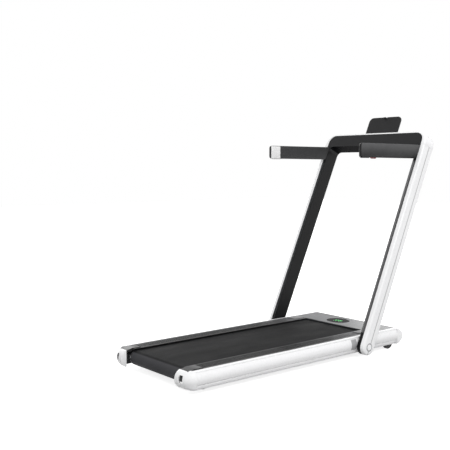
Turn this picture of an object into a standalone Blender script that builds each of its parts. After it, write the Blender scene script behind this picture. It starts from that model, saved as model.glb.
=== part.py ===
"""Folding treadmill with a U-shaped handrail frame that lies flat round the deck.

Metres, +Z up. +X is the way the user faces, +Y is the user's left. Lengths along the deck
(names ending in _X) are counted from the deck's rear end, heights from the floor. The whole
model hangs on one empty, so the origin lies on the floor under the middle of the bounding box.
"""
import math

import bmesh
import bpy
from mathutils import Matrix, Vector

# Overall sizes of the deck
DECK_LENGTH = 1.400
STRIP_TOP = 0.110
RAIL_BOTTOM = 0.027

# Clearances, and how far a cutting form stands proud of what it cuts
GAP = 0.0003
SLIDE_GAP = 0.0006
OVERCUT = 0.010
EDGE_INSET = 0.001

# Walking belt, rollers and running board
BELT_HALF_WIDTH = 0.200
BELT_THICKNESS = 0.002
BELT_DROP = 0.008
ROLLER_RADIUS = 0.0315
ROLLER_WALL = 0.002
ROLLER_OVERHANG = 0.007
ROLLER_PLUG = 0.012
REAR_ROLLER_X = 0.078
FRONT_ROLLER_INSET = 0.020
SHAFT_RADIUS = 0.0075
BEARING_OUTER = 0.0157
BOARD_THICKNESS = 0.015
BOARD_END_CLEARANCE = 0.007
BOARD_SIDE_CLEARANCE = 0.0033
CUSHION_WIDTH = 0.024
CUSHION_THICKNESS = 0.0066
CUSHION_INSET = 0.030

# Steel base under the deck
PULLEY_TO_BEAM = 0.011
BEAM_WIDTH = 0.024
BEAM_HEIGHT = 0.048
BEAM_WALL = 0.002
BEAM_REAR_X = 0.034
BEAM_FRONT_SETBACK = 0.108
BEAM_END_PLATE = 0.004
CAP_TO_BEAM = 0.0025
CROSS_MEMBER_WIDTH = 0.030
CROSS_MEMBER_WALL = 0.002
CROSS_MEMBER_RISE = 0.008
REAR_CROSS_SETBACK = 0.072
FRONT_CROSS_SETBACK = 0.115
TRAY_CLEARANCE = 0.0072
TRAY_SHEET = 0.0025
TRAY_RISE = 0.0005
TRAY_FLANGE_HEIGHT = 0.045
BOLT_RADIUS = 0.004
BOLT_HEAD_RADIUS = 0.0065
BOLT_HEAD_LENGTH = 0.007
BOLT_SOCKET_RADIUS = 0.0032
BOLT_SOCKET_DEPTH = 0.0035
TENSION_TRAVEL = 0.008

# Side rails, rear caps, front caps and nose
RAIL_TO_BEAM = 0.0113
RAIL_DEPTH = 0.0247
RAIL_SKIN = 0.0025
RIM_HEM = 0.010
RIM_CORNER = 0.004
RIM_WIDTH = 0.0107
SHOULDER_INSET = 0.010
LIP_INSET = 0.0075
LIP_TURN_IN = 0.016
UPPER_LINE_DROP = 0.008
LOWER_LINE_RISE = 0.021
GROOVE_DEPTH = 0.0010
GROOVE_WIDTH = 0.0012
REAR_CAP_LENGTH = 0.052
REAR_CAP_SHOULDER = 0.028
REAR_CAP_RIM_X = 0.042
REAR_CAP_WALL = 0.004
REAR_CAP_SWEEP = 0.078
REAR_CAP_INNER_CORNER = 0.006
BELT_TO_CAP = 0.005
CAP_ROUNDING = 0.010
TOOL_SLOT_WIDTH = 0.022
TOOL_SLOT_HEIGHT = 0.033
TOOL_SLOT_DROP = 0.010
TOOL_SLOT_OFFSET = 0.0075
TOOL_SLOT_CORNER = 0.005
NOSE_LENGTH = 0.050
NOSE_SKIN = 0.003
NOSE_UNDERSIDE_ANGLE = -76.0

# Foot strips, corner guards and strip ends
STRIP_OVERLAP = 0.004
STRIP_THICKNESS = 0.003
STRIP_CHAMFER = 0.001
STRIP_MARGIN = 0.010
STRIP_RIB_PITCH = 0.005
STRIP_RIB_HEIGHT = 0.0009
STRIP_LEG = 0.0025
STRIP_LEG_INSET = 0.0015
STRIP_REAR_X = 0.060
GUARD_LENGTH = 0.048
GUARD_OUTER_INSET = 0.0093
GUARD_THICKNESS = 0.0022
GUARD_FRONT_SLOPE = 0.004
GUARD_REAR_DROP = 0.006
GUARD_SKIRT = 0.012
END_BLOCK_LENGTH = 0.075
END_BLOCK_SETBACK = 0.005
END_BLOCK_HEIGHT = 0.0035
END_BLOCK_ROUNDING = 0.0015

# Motor cover and display
COVER_LENGTH = 0.215
COVER_SKIN = 0.003
COVER_LIP = 0.0055
COVER_EDGE = 0.0015
COVER_LEG_SETBACK = 0.015
COVER_LEG_LENGTH = 0.085
COVER_LEG = 0.004
DISPLAY_SETBACK = 0.083
DISPLAY_Y = 0.037
DISPLAY_HALF_LENGTH = 0.056
DISPLAY_HALF_WIDTH = 0.066
DISPLAY_BOARD_INSET = (0.020, 0.014)
LENS_THICKNESS = 0.0035
BOARD_PCB = 0.0028

# Motor, drive and controller
MOTOR_SETBACK = 0.054
MOTOR_DROP = 0.0025
MOTOR_RADIUS = 0.030
MOTOR_LENGTH = 0.142
MOTOR_ROUNDING = 0.003
SADDLE_LENGTH = 0.052
SADDLE_INSET = 0.012
SADDLE_ANGLE = 50.0
MOTOR_SHAFT_RADIUS = 0.005
FLYWHEEL_RADIUS = 0.027
FLYWHEEL_WIDTH = 0.022
FLYWHEEL_TO_MOTOR = 0.006
FLYWHEEL_TO_PULLEY = 0.011
PULLEY_STANDOFF = 0.004
PULLEY_WIDTH = 0.016
ROLLER_PULLEY_RADIUS = 0.026
ROLLER_PULLEY_RIM = 0.006
MOTOR_PULLEY_RADIUS = 0.011
DRIVE_BELT_THICKNESS = 0.0022
DRIVE_BELT_INSET = 0.001
CONTROLLER_SETBACK = 0.016
CONTROLLER_LENGTH = 0.072
CONTROLLER_WIDTH = 0.170
CONTROLLER_TO_BEAM = 0.033
CONTROLLER_HEIGHT = 0.024
CONTROLLER_FIN_HEIGHT = 0.012
CONTROLLER_FINS = 9
CONTROLLER_FIN_SHARE = 0.3

# Power panel in the nose
PANEL_TO_BEAM = 0.088
PANEL_HEIGHT = 0.037
PANEL_DEPTH = 0.0165
PANEL_RECESS = 0.0075
PANEL_INLET_MARGIN = 0.006
PANEL_ROCKER_MARGIN = 0.0143
INLET_TO_ROCKER = 0.0183
INLET_WIDTH = 0.027
INLET_HEIGHT = 0.020
INLET_DEPTH = 0.012
ROCKER_WIDTH = 0.0244
ROCKER_HALF_HEIGHT = 0.0088
ROCKER_TILT = 6.0
ROCKER_AXIS_DEPTH = 0.009
ROCKER_POCKET_DEPTH = 0.0155
ROCKER_DISH = 0.0015
ROCKER_HEEL_DEPTH = 0.005
ROCKER_HEEL_HALF = 0.0045

# Transport wheels and feet
WHEEL_REACH = 0.036
WHEEL_RADIUS = 0.030
WHEEL_WIDTH = 0.020
WHEEL_TO_PLATE = 0.0015
WHEEL_TYRE = 0.006
WHEEL_GROOVE = 0.006
WHEEL_GROOVE_DEPTH = 0.002
WHEEL_CHAMFER = 0.0025
WHEEL_PLATE = 0.003
WHEEL_PLATE_OVERLAP = 0.045
WHEEL_PLATE_EYE = 0.0085
WHEEL_PLATE_CORNER = 0.004
AXLE_RADIUS = 0.004
AXLE_PROUD = 0.0015
FOOT_TO_BEAM = 0.0328
FOOT_RADIUS = 0.0095
FOOT_PAD_HEIGHT = 0.008
FOOT_STEP = 0.002
FOOT_CHAMFER = 0.001
FOOT_STUD_RADIUS = 0.004
FOOT_STUD_LENGTH = 0.012

# Handrail frame, in its own axes: n forwards across the frame, y sideways, u up along it
PIVOT_SETBACK = 0.333
PIVOT_DROP = 0.0055
FRAME_TILT = 24.7
FRAME_DEPTH = 0.0805
UPRIGHT_CLEARANCE = 0.006
CHANNEL_WALL = 0.0022
CHANNEL_BLOCK = 0.060
SHELL_WIDTH = 0.0238
SHELL_WALL = 0.003
SHELL_FACE_WALL = 0.006
SHELL_ROUNDING = 0.009
SHELL_TOP_MARGIN = 0.003
FOLDED_CLEARANCE = 0.010
CROSSBAR_THICKNESS = 0.068
CROSSBAR_CORNER = 0.045
CROSSBAR_WALL = 0.0030
CROSSBAR_LEDGE = 0.008
GUSSET_RADIUS = 0.025
TRIM_THICKNESS = 0.010
TRIM_CORNER = 0.065
TUBE_HALF_DEPTH = 0.030
TUBE_FOOT = 0.021
TUBE_WALL = 0.002
TUBE_GAP = 0.0035
TUBE_FIT = 0.0005
TOP_TUBE_HALF_DEPTH = 0.022
TOP_TUBE_WALL = 0.002
TOP_TUBE_RISE = 0.022
TOP_TUBE_HEIGHT = 0.032
TOP_TUBE_BEND = 0.030
TOP_TUBE_CROTCH = 0.010

# Pivots
BOSS_RADIUS = 0.018
BOSS_FLANGE_RADIUS = 0.030
BRACKET_PLATE = 0.005
BRACKET_HALF_LENGTH = 0.040
BRACKET_CORNER = 0.006
PIVOT_BOLT_RADIUS = 0.010
PIVOT_BOLT_INSET = 0.002
LOCK_BUTTON_RADIUS = 0.015
LOCK_BUTTON_PROUD = 0.0015
LOCK_BUTTON_TRAVEL = 0.0015
LOCK_BUTTON_CHAMFER = 0.001

# Arms
ARM_THICKNESS = 0.0158
ARM_SIDE_ROOM = 0.0063
ARM_HINGE_DROP = 0.012
ARM_ROOT_RADIUS = 0.0297
ARM_SWING_ROOM = 0.00035
ARM_HEAD_ROOM = 0.0034
ARM_REACH = 0.4937
ARM_TIP_CORNER = 0.014
ARM_ROUNDING = 0.003
ARM_PIN_RADIUS = 0.005
GRILLE_LENGTH = 0.072
GRILLE_THICKNESS = 0.004
GRILLE_ROUNDING = 0.0025

# Tablet rest and safety key
REST_HALF_WIDTH = 0.1095
REST_HEIGHT = 0.117
REST_THICKNESS = 0.006
REST_N = 0.0075
REST_CORNER = 0.026
REST_TONGUE_HALF_WIDTH = 0.050
REST_TONGUE_LENGTH = 0.020
REST_TONGUE_CORNER = 0.003
REST_NOTCH_HALF_WIDTH = 0.010
REST_NOTCH_DEPTH = 0.006
REST_NOTCH_CORNER = 0.001
CLIP_HALF_WIDTH = 0.008
CLIP_SHEET = 0.002
CLIP_MOUTH = 0.009
CLIP_STEM = 0.030
CLIP_LIP = 0.007
KEY_N = 0.029
KEY_Y = 0.025
KEY_HALF_WIDTH = 0.017
KEY_HALF_DEPTH = 0.008
KEY_LENGTH = 0.045
KEY_ROUNDING = 0.0035
KEY_STUB_HALF_WIDTH = 0.012
KEY_STUB_HALF_DEPTH = 0.005
KEY_STUB_LENGTH = 0.010

# Heights, worked out from the sizes above
BELT_TOP = STRIP_TOP - BELT_DROP
BELT_INNER_RADIUS = ROLLER_RADIUS + GAP
BELT_OUTER_RADIUS = BELT_INNER_RADIUS + BELT_THICKNESS
ROLLER_Z = BELT_TOP - BELT_OUTER_RADIUS
BOARD_TOP = BELT_TOP - BELT_THICKNESS - GAP
CUSHION_TOP = BOARD_TOP - BOARD_THICKNESS - GAP
CROSS_TOP = CUSHION_TOP - CUSHION_THICKNESS - GAP
CROSS_BOTTOM = ROLLER_Z - BELT_INNER_RADIUS + CROSS_MEMBER_RISE
BEAM_BOTTOM = RAIL_BOTTOM + REAR_CAP_WALL + CAP_TO_BEAM
BEAM_TOP = BEAM_BOTTOM + BEAM_HEIGHT
DECK_MID_Z = (STRIP_TOP + RAIL_BOTTOM) / 2
DECK_HALF_HEIGHT = (STRIP_TOP - RAIL_BOTTOM) / 2
TRAY_BOTTOM = RAIL_BOTTOM + TRAY_RISE
TRAY_TOP = TRAY_BOTTOM + TRAY_SHEET
MOTOR_Z = DECK_MID_Z - MOTOR_DROP
PIVOT_Z = DECK_MID_Z - PIVOT_DROP
TOOL_SLOT_BOTTOM = ROLLER_Z - TOOL_SLOT_DROP

# Places along the deck
NOSE_X = DECK_LENGTH - NOSE_LENGTH
COVER_REAR_X = DECK_LENGTH - COVER_LENGTH
COVER_LEG_X = (COVER_REAR_X + COVER_LEG_SETBACK, COVER_REAR_X + COVER_LEG_SETBACK + COVER_LEG_LENGTH)
DISPLAY_X = COVER_REAR_X + DISPLAY_SETBACK
END_BLOCK_X = (COVER_REAR_X - END_BLOCK_SETBACK - END_BLOCK_LENGTH, COVER_REAR_X - END_BLOCK_SETBACK)
FRONT_ROLLER_X = COVER_REAR_X + FRONT_ROLLER_INSET
TRAY_REAR_X = FRONT_ROLLER_X + BELT_OUTER_RADIUS + TRAY_CLEARANCE
MOTOR_X = TRAY_REAR_X + MOTOR_SETBACK
CONTROLLER_X = (TRAY_REAR_X + CONTROLLER_SETBACK, TRAY_REAR_X + CONTROLLER_SETBACK + CONTROLLER_LENGTH)
REAR_CROSS_X = REAR_ROLLER_X + REAR_CROSS_SETBACK
FRONT_CROSS_X = FRONT_ROLLER_X - FRONT_CROSS_SETBACK
CROSS_MEMBER_X = (REAR_CROSS_X, (REAR_CROSS_X + FRONT_CROSS_X) / 2, FRONT_CROSS_X)
BEAM_FRONT_X = DECK_LENGTH - BEAM_FRONT_SETBACK
WHEEL_X = BEAM_FRONT_X + WHEEL_REACH
PIVOT_X = DECK_LENGTH - PIVOT_SETBACK
PANEL_FACE_X = DECK_LENGTH - PANEL_RECESS

# Places across the deck, outwards from the belt
STRIP_INNER = BELT_HALF_WIDTH - STRIP_OVERLAP
GUARD_INNER = STRIP_INNER + STRIP_MARGIN + SLIDE_GAP
REAR_CAP_INNER = BELT_HALF_WIDTH + BELT_TO_CAP
CUSHION_Y = BELT_HALF_WIDTH - CUSHION_INSET
ROLLER_HALF_LENGTH = BELT_HALF_WIDTH + ROLLER_OVERHANG
PULLEY_INNER = ROLLER_HALF_LENGTH + PULLEY_STANDOFF
PULLEY_Y = (PULLEY_INNER, PULLEY_INNER + PULLEY_WIDTH)
FLYWHEEL_Y = (PULLEY_INNER - FLYWHEEL_TO_PULLEY - FLYWHEEL_WIDTH, PULLEY_INNER - FLYWHEEL_TO_PULLEY)
MOTOR_Y = (FLYWHEEL_Y[0] - FLYWHEEL_TO_MOTOR - MOTOR_LENGTH, FLYWHEEL_Y[0] - FLYWHEEL_TO_MOTOR)
BEAM_INNER = PULLEY_Y[1] + PULLEY_TO_BEAM
BEAM_OUTER = BEAM_INNER + BEAM_WIDTH
BEAM_MIDDLE = (BEAM_INNER + BEAM_OUTER) / 2
TOOL_SLOT_Y = BEAM_MIDDLE - TOOL_SLOT_OFFSET
BOARD_HALF_WIDTH = BEAM_INNER - BOARD_SIDE_CLEARANCE
CONTROLLER_Y = (CONTROLLER_TO_BEAM - BEAM_INNER, CONTROLLER_TO_BEAM - BEAM_INNER + CONTROLLER_WIDTH)
FOOT_Y = BEAM_INNER - FOOT_TO_BEAM
WHEEL_Y = (BEAM_OUTER - WHEEL_TO_PLATE - WHEEL_WIDTH, BEAM_OUTER - WHEEL_TO_PLATE)
RIM_INNER = BEAM_OUTER + RAIL_TO_BEAM
GUARD_OUTER = RIM_INNER - GUARD_OUTER_INSET
RAIL_OUTER = RIM_INNER + RAIL_DEPTH
PANEL_Y = PANEL_TO_BEAM - BEAM_INNER
PANEL_WIDTH = PANEL_INLET_MARGIN + INLET_WIDTH + INLET_TO_ROCKER + ROCKER_WIDTH + PANEL_ROCKER_MARGIN
INLET_Y = PANEL_Y - PANEL_WIDTH / 2 + PANEL_INLET_MARGIN + INLET_WIDTH / 2
ROCKER_Y = INLET_Y + INLET_WIDTH / 2 + INLET_TO_ROCKER + ROCKER_WIDTH / 2

# Places in the handrail frame; folded, the crossbar lies just behind the deck
TILT = math.radians(FRAME_TILT)
FRAME_HALF = FRAME_DEPTH / 2
UPRIGHT_INNER = RAIL_OUTER + UPRIGHT_CLEARANCE
ARM_INNER = UPRIGHT_INNER + CHANNEL_WALL + SLIDE_GAP
ARM_OUTER = ARM_INNER + ARM_THICKNESS
SHELL_INNER = ARM_OUTER + SLIDE_GAP
SHELL_OUTER = SHELL_INNER + SHELL_WIDTH
TUBE_INNER = SHELL_INNER + TUBE_GAP
TUBE_OUTER = SHELL_OUTER - SHELL_FACE_WALL - TUBE_FIT
CROSSBAR_BOTTOM = PIVOT_X + FOLDED_CLEARANCE
CROSSBAR_TOP = CROSSBAR_BOTTOM + CROSSBAR_THICKNESS
SHELL_TOP = CROSSBAR_BOTTOM + SHELL_TOP_MARGIN
FRAME_TOP = CROSSBAR_TOP + GAP + TRIM_THICKNESS
ARM_HINGE_U = CROSSBAR_BOTTOM - ARM_ROOT_RADIUS - ARM_HEAD_ROOM
ARM_HINGE_N = FRAME_HALF - CHANNEL_WALL - ARM_ROOT_RADIUS - ARM_SWING_ROOM
ARM_HEIGHT = FRAME_DEPTH - CHANNEL_WALL - ARM_SIDE_ROOM
ARM_TOP = ARM_HEIGHT / 2 + ARM_HINGE_DROP
ARM_BOTTOM = ARM_TOP - ARM_HEIGHT
REST_TOP = FRAME_TOP + REST_HEIGHT
CLIP_BACK = REST_N + REST_THICKNESS / 2 + GAP
CLIP_FLOOR = REST_TOP - REST_NOTCH_DEPTH + GAP
CLIP_TOP = CLIP_FLOOR + CLIP_SHEET
FRONT_TIP_X = PIVOT_X + CLIP_TOP * math.sin(TILT) + (CLIP_BACK + CLIP_SHEET) * math.cos(TILT)
MIDDLE_X = FRONT_TIP_X / 2

WELD = 0.00001
WELD_OVERLAP = 0.001
BLACK_GLOSS = ((0.020, 0.020, 0.022), 0.25, 0.0)
BLACK_SATIN = ((0.030, 0.030, 0.032), 0.45, 0.0)
GREY_SATIN = ((0.230, 0.230, 0.235), 0.40, 0.0)
WHITE_GLOSS = ((0.860, 0.865, 0.870), 0.22, 0.0)
STEEL = ((0.330, 0.335, 0.345), 0.40, 1.0)
RUBBER = ((0.015, 0.015, 0.015), 0.85, 0.0)
BOARD_WOOD = ((0.330, 0.240, 0.150), 0.60, 0.0)
BELT_PVC = ((0.035, 0.035, 0.036), 0.75, 0.0)
RED_PLASTIC = ((0.550, 0.020, 0.020), 0.35, 0.0)
GREEN_BOARD = ((0.020, 0.160, 0.060), 0.50, 0.0)


def clear_scene():
    """Empty the scene and make the collection that holds the parts."""
    for item in list(bpy.data.objects):
        bpy.data.objects.remove(item)
    group = bpy.data.collections.new("folding_treadmill")
    bpy.context.scene.collection.children.link(group)
    return group


PARTS = clear_scene()


def paint(item, finish):
    """Give a part its own material."""
    colour, roughness, metallic = finish
    material = bpy.data.materials.new(item.name + "_finish")
    material.use_nodes = True
    shader = material.node_tree.nodes["Principled BSDF"]
    shader.inputs["Base Color"].default_value = (*colour, 1.0)
    shader.inputs["Roughness"].default_value = roughness
    shader.inputs["Metallic"].default_value = metallic
    item.data.materials.append(material)


def add_part(name, form, finish, parent):
    """Turn a finished form into a named part under its parent."""
    mesh = bpy.data.meshes.new(name)
    form.to_mesh(mesh)
    form.free()
    mesh.shade_smooth()
    mesh.set_sharp_from_angle(angle=math.radians(30))
    item = bpy.data.objects.new(name, mesh)
    PARTS.objects.link(item)
    item.parent = parent
    paint(item, finish)
    return item


def add_empty(name, parent, location=(0, 0, 0), turn_y=0.0):
    """Frame of reference that carries parts; its local Y is the hinge direction."""
    item = bpy.data.objects.new(name, None)
    PARTS.objects.link(item)
    item.parent = parent
    item.location = location
    item.rotation_euler = (0, turn_y, 0)
    return item


def rounded(corners, closed=True, steps=4):
    """Outline through corners (u, v, radius), each corner turned by an arc of its radius."""
    line = []
    count = len(corners)
    for index, (u, v, radius) in enumerate(corners):
        at_end = not closed and index in (0, count - 1)
        if radius == 0 or at_end:
            line.append((u, v))
            continue
        here = Vector((u, v))
        before = (Vector(corners[index - 1][:2]) - here).normalized()
        after = (Vector(corners[(index + 1) % count][:2]) - here).normalized()
        half = before.angle(after) / 2
        reach = radius / math.tan(half)
        centre = here + (before + after).normalized() * (radius / math.sin(half))
        first = here + before * reach - centre
        last = here + after * reach - centre
        turn = math.atan2(first.cross(last), first.dot(last))
        for step in range(steps + 1):
            spoke = first.copy()
            spoke.rotate(Matrix.Rotation(turn * step / steps, 2))
            line.append(tuple(centre + spoke))
    return line


def arc(centre, radius, start, end, steps):
    """Points on an arc, angles in degrees."""
    angles = [math.radians(start + (end - start) * step / steps) for step in range(steps + 1)]
    return [(centre[0] + radius * math.cos(a), centre[1] + radius * math.sin(a)) for a in angles]


def oval(centre, half_u, half_v, steps):
    """Closed oval."""
    angles = [2 * math.pi * step / steps for step in range(steps)]
    return [(centre[0] + half_u * math.cos(a), centre[1] + half_v * math.sin(a)) for a in angles]


def ribbon(line, thickness):
    """Closed outline of a sheet: the open line, and its offset to the right of its direction."""
    points = [Vector(point) for point in line]
    sides = []
    for first, second in zip(points, points[1:]):
        along = (second - first).normalized()
        sides.append(Vector((along.y, -along.x)))
    offset = []
    for index, point in enumerate(points):
        before = sides[max(index - 1, 0)]
        after = sides[min(index, len(sides) - 1)]
        offset.append(tuple(point + (before + after) * (thickness / (1 + before.dot(after)))))
    return list(line) + offset[::-1]


def tidy(form):
    """Weld, merge flat faces and turn every face outwards."""
    bmesh.ops.remove_doubles(form, verts=form.verts, dist=WELD)
    bmesh.ops.dissolve_limit(form, angle_limit=0.004, verts=form.verts, edges=form.edges)
    bmesh.ops.recalc_face_normals(form, faces=form.faces)
    return form


def extrude(outlines, along, low, high):
    """Solid between two planes, from flat outlines: the first is the rim and the others are holes.

    The outlines are in (y, z) along x, in (x, z) along y and in (x, y) along z.
    """
    curve = bpy.data.curves.new("outline", "CURVE")
    curve.dimensions = "2D"
    curve.fill_mode = "BOTH"
    curve.extrude = abs(high - low) / 2
    for outline in outlines:
        spline = curve.splines.new("POLY")
        spline.points.add(len(outline) - 1)
        for point, (u, v) in zip(spline.points, outline):
            point.co = (u, v, 0, 1)
        spline.use_cyclic_u = True
    guide = bpy.data.objects.new("outline", curve)
    bpy.context.scene.collection.objects.link(guide)
    graph = bpy.context.evaluated_depsgraph_get()
    mesh = bpy.data.meshes.new_from_object(guide.evaluated_get(graph))
    form = bmesh.new()
    form.from_mesh(mesh)
    bpy.data.objects.remove(guide)
    bpy.data.curves.remove(curve)
    bpy.data.meshes.remove(mesh)
    turns = {
        "x": Matrix(((0, 0, 1, 0), (1, 0, 0, 0), (0, 1, 0, 0), (0, 0, 0, 1))),
        "y": Matrix(((1, 0, 0, 0), (0, 0, 1, 0), (0, 1, 0, 0), (0, 0, 0, 1))),
        "z": Matrix.Identity(4),
    }
    bmesh.ops.remove_doubles(form, verts=form.verts, dist=WELD)
    if len(outlines) == 1:
        ends = [face for face in form.faces if len({round(vert.co.z, 6) for vert in face.verts}) == 1]
        bmesh.ops.delete(form, geom=ends, context="FACES")
        bmesh.ops.holes_fill(form, edges=form.edges)
    form.transform(turns[along] @ Matrix.Translation((0, 0, (low + high) / 2)))
    return tidy(form)


def block(x, y, z):
    """Box between two limits on each axis."""
    form = bmesh.new()
    bmesh.ops.create_cube(form, size=1.0)
    low = Vector((min(x), min(y), min(z)))
    high = Vector((max(x), max(y), max(z)))
    size = high - low
    form.transform(Matrix.Translation((low + high) / 2) @ Matrix.Diagonal((*size, 1.0)))
    return form


def rod(centre, radius, low, high, along="y", segments=20):
    """Cylinder between two limits along an axis; the centre is given on the other two axes."""
    form = bmesh.new()
    length = abs(high - low)
    bmesh.ops.create_cone(form, cap_ends=True, segments=segments, radius1=radius, radius2=radius,
                          depth=length)
    middle = (low + high) / 2
    if along == "x":
        place = Matrix.Translation((middle, *centre)) @ Matrix.Rotation(math.pi / 2, 4, "Y")
    elif along == "y":
        place = Matrix.Translation((centre[0], middle, centre[1])) @ Matrix.Rotation(math.pi / 2, 4, "X")
    else:
        place = Matrix.Translation((*centre, middle))
    form.transform(place)
    bmesh.ops.recalc_face_normals(form, faces=form.faces)
    return form


def turned(profile, steps, ring):
    """Body turned about the Z axis from a profile of (radius, height), closed if it is a ring."""
    mesh = bpy.data.meshes.new("profile")
    count = len(profile)
    edges = [(index, index + 1) for index in range(count - 1)]
    if ring:
        edges.append((count - 1, 0))
    mesh.from_pydata([(radius, 0, height) for radius, height in profile], edges, [])
    guide = bpy.data.objects.new("profile", mesh)
    bpy.context.scene.collection.objects.link(guide)
    screw = guide.modifiers.new("turn", "SCREW")
    screw.steps = steps
    screw.render_steps = steps
    screw.use_merge_vertices = True
    screw.merge_threshold = WELD
    form = bmesh.new()
    form.from_object(guide, bpy.context.evaluated_depsgraph_get())
    bpy.data.objects.remove(guide)
    bpy.data.meshes.remove(mesh)
    bmesh.ops.remove_doubles(form, verts=form.verts, dist=WELD)
    bmesh.ops.recalc_face_normals(form, faces=form.faces)
    return form


def turned_along_y(profile, steps, ring, x=0.0, z=0.0):
    """Turned body whose axis runs along Y; the profile is (radius, y)."""
    form = turned([(radius, -y) for radius, y in profile], steps, ring)
    form.transform(Matrix.Translation((x, 0, z)) @ Matrix.Rotation(math.pi / 2, 4, "X"))
    bmesh.ops.recalc_face_normals(form, faces=form.faces)
    return form


def combine(base, tool, operation):
    """Boolean of two forms; both are used up.

    Outlines here have points that lie in line, which the exact solver drops, so the manifold solver is used.
    """
    items = []
    for form in (base, tool):
        mesh = bpy.data.meshes.new("working")
        form.to_mesh(mesh)
        form.free()
        item = bpy.data.objects.new("working", mesh)
        bpy.context.scene.collection.objects.link(item)
        items.append(item)
    body, cutter = items
    modifier = body.modifiers.new("combine", "BOOLEAN")
    modifier.operation = operation
    modifier.object = cutter
    modifier.solver = "MANIFOLD"
    result = bmesh.new()
    result.from_object(body, bpy.context.evaluated_depsgraph_get())
    for item in items:
        mesh = item.data
        bpy.data.objects.remove(item)
        bpy.data.meshes.remove(mesh)
    return tidy(result)


def cut(base, tool):
    """Take the tool's shape out of the base."""
    return combine(base, tool, "DIFFERENCE")


def join(base, tool):
    """Weld the tool's shape onto the base."""
    return combine(base, tool, "UNION")


def round_edges(form, picked, width, segments=2):
    """Round the sharp edges that a test picks by their two ends."""
    edges = []
    for edge in form.edges:
        if len(edge.link_faces) == 2 and edge.calc_face_angle(0) > 0.5:
            if picked(edge.verts[0].co, edge.verts[1].co):
                edges.append(edge)
    bmesh.ops.bevel(form, geom=edges, offset=width, segments=segments, profile=0.5,
                    affect="EDGES", clamp_overlap=True)
    return tidy(form)


def near(value, target):
    """True where a coordinate lies on a given plane."""
    return abs(value - target) < 0.00005


def side_name(side):
    return "left" if side > 0 else "right"


def rail_line():
    """Outer line of a side rail in (y, z): flat rim, groove, bulging face, groove and tucked lower lip."""
    shoulder = RAIL_OUTER - SHOULDER_INSET
    lip = RAIL_OUTER - LIP_INSET
    upper = STRIP_TOP - UPPER_LINE_DROP
    lower = RAIL_BOTTOM + LOWER_LINE_RISE
    bulge = RAIL_OUTER - (shoulder + lip) / 2
    line = [(RIM_INNER, STRIP_TOP - RIM_HEM), (RIM_INNER, STRIP_TOP)]
    corner = (RIM_INNER + RIM_WIDTH, STRIP_TOP - RIM_CORNER)
    line += arc(corner, RIM_CORNER, 90, 0, 3)
    line += [(shoulder, upper + GROOVE_WIDTH), (shoulder - GROOVE_DEPTH, upper + GROOVE_WIDTH / 3)]
    face_steps = 8
    for step in range(face_steps + 1):
        share = step / face_steps
        y = shoulder + (lip - shoulder) * share + bulge * math.sin(math.pi * share)
        line.append((y, upper + (lower - upper) * share))
    line.append((lip - GROOVE_DEPTH, lower - GROOVE_WIDTH / 2))
    turn_height = lower - GROOVE_WIDTH - RAIL_BOTTOM
    for angle in (0, 22.5, 45, 67.5, 90):
        inwards = LIP_TURN_IN * (1 - math.cos(math.radians(angle)))
        line.append((lip - inwards, RAIL_BOTTOM + turn_height * (1 - math.sin(math.radians(angle)))))
    line.append((BEAM_OUTER + WHEEL_PLATE + SLIDE_GAP, RAIL_BOTTOM))
    return line


def rail_inset(z):
    """How far the rail's skin lies inside its widest point at a height."""
    line = rail_line()
    for (start_y, start_z), (end_y, end_z) in zip(line[1:], line[2:]):
        if end_z < start_z and end_z - WELD <= z <= start_z + WELD:
            share = (start_z - z) / (start_z - end_z)
            return RAIL_OUTER - start_y - (end_y - start_y) * share
    return RAIL_OUTER - line[-2][0]


def build_side_rail(side, parent):
    """White outer skin of one side, with its solid rounded front end."""
    outline = [(side * y, z) for y, z in ribbon(rail_line(), RAIL_SKIN)]
    form = extrude([outline], "x", REAR_CAP_LENGTH + GAP, NOSE_X + WELD_OVERLAP)
    form = join(form, front_end(side))
    hole = rod((PIVOT_X, PIVOT_Z), BOSS_RADIUS + SLIDE_GAP, side * BEAM_OUTER, side * SHELL_OUTER)
    add_part("side_rail_" + side_name(side), cut(form, hole), WHITE_GLOSS, parent)


def rear_cap_form(side, depth, front):
    """Bull-nose that runs round the corner into the rail's own section, at a depth below the surface."""
    inner = REAR_CAP_INNER + depth
    half = DECK_HALF_HEIGHT - depth
    reach_x = REAR_CAP_LENGTH - depth
    reach_y = REAR_CAP_SWEEP - depth
    centre_y = RAIL_OUTER - REAR_CAP_SWEEP
    form = bmesh.new()
    sections = []
    for turn in (None, *range(0, 91, 10)):
        turned = math.radians(turn or 0)
        share = math.sin(turned) ** 2
        section = []
        for angle in range(-90, 91, 15):
            z = DECK_MID_Z + half * math.sin(math.radians(angle))
            inset = half * (1 - math.cos(math.radians(angle))) * (1 - share) + rail_inset(z) * share
            x = REAR_CAP_LENGTH - (reach_x - inset) * math.cos(turned)
            y = centre_y + (reach_y - inset) * math.sin(turned)
            if turn is None:
                y = inner
            if turn == 90:
                x = front
            section.append(form.verts.new((x, side * y, z)))
        sections.append(section)
    low = form.verts.new((front, side * inner, DECK_MID_Z - half))
    high = form.verts.new((front, side * inner, DECK_MID_Z + half))
    for one, two in zip(sections, sections[1:]):
        for level in range(len(one) - 1):
            form.faces.new((one[level], two[level], two[level + 1], one[level + 1]))
    form.faces.new([section[-1] for section in sections] + [high])
    form.faces.new([section[0] for section in sections] + [low])
    form.faces.new(sections[0] + [high, low])
    form.faces.new(sections[-1] + [high, low])
    bmesh.ops.recalc_face_normals(form, faces=form.faces)
    return form


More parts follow.
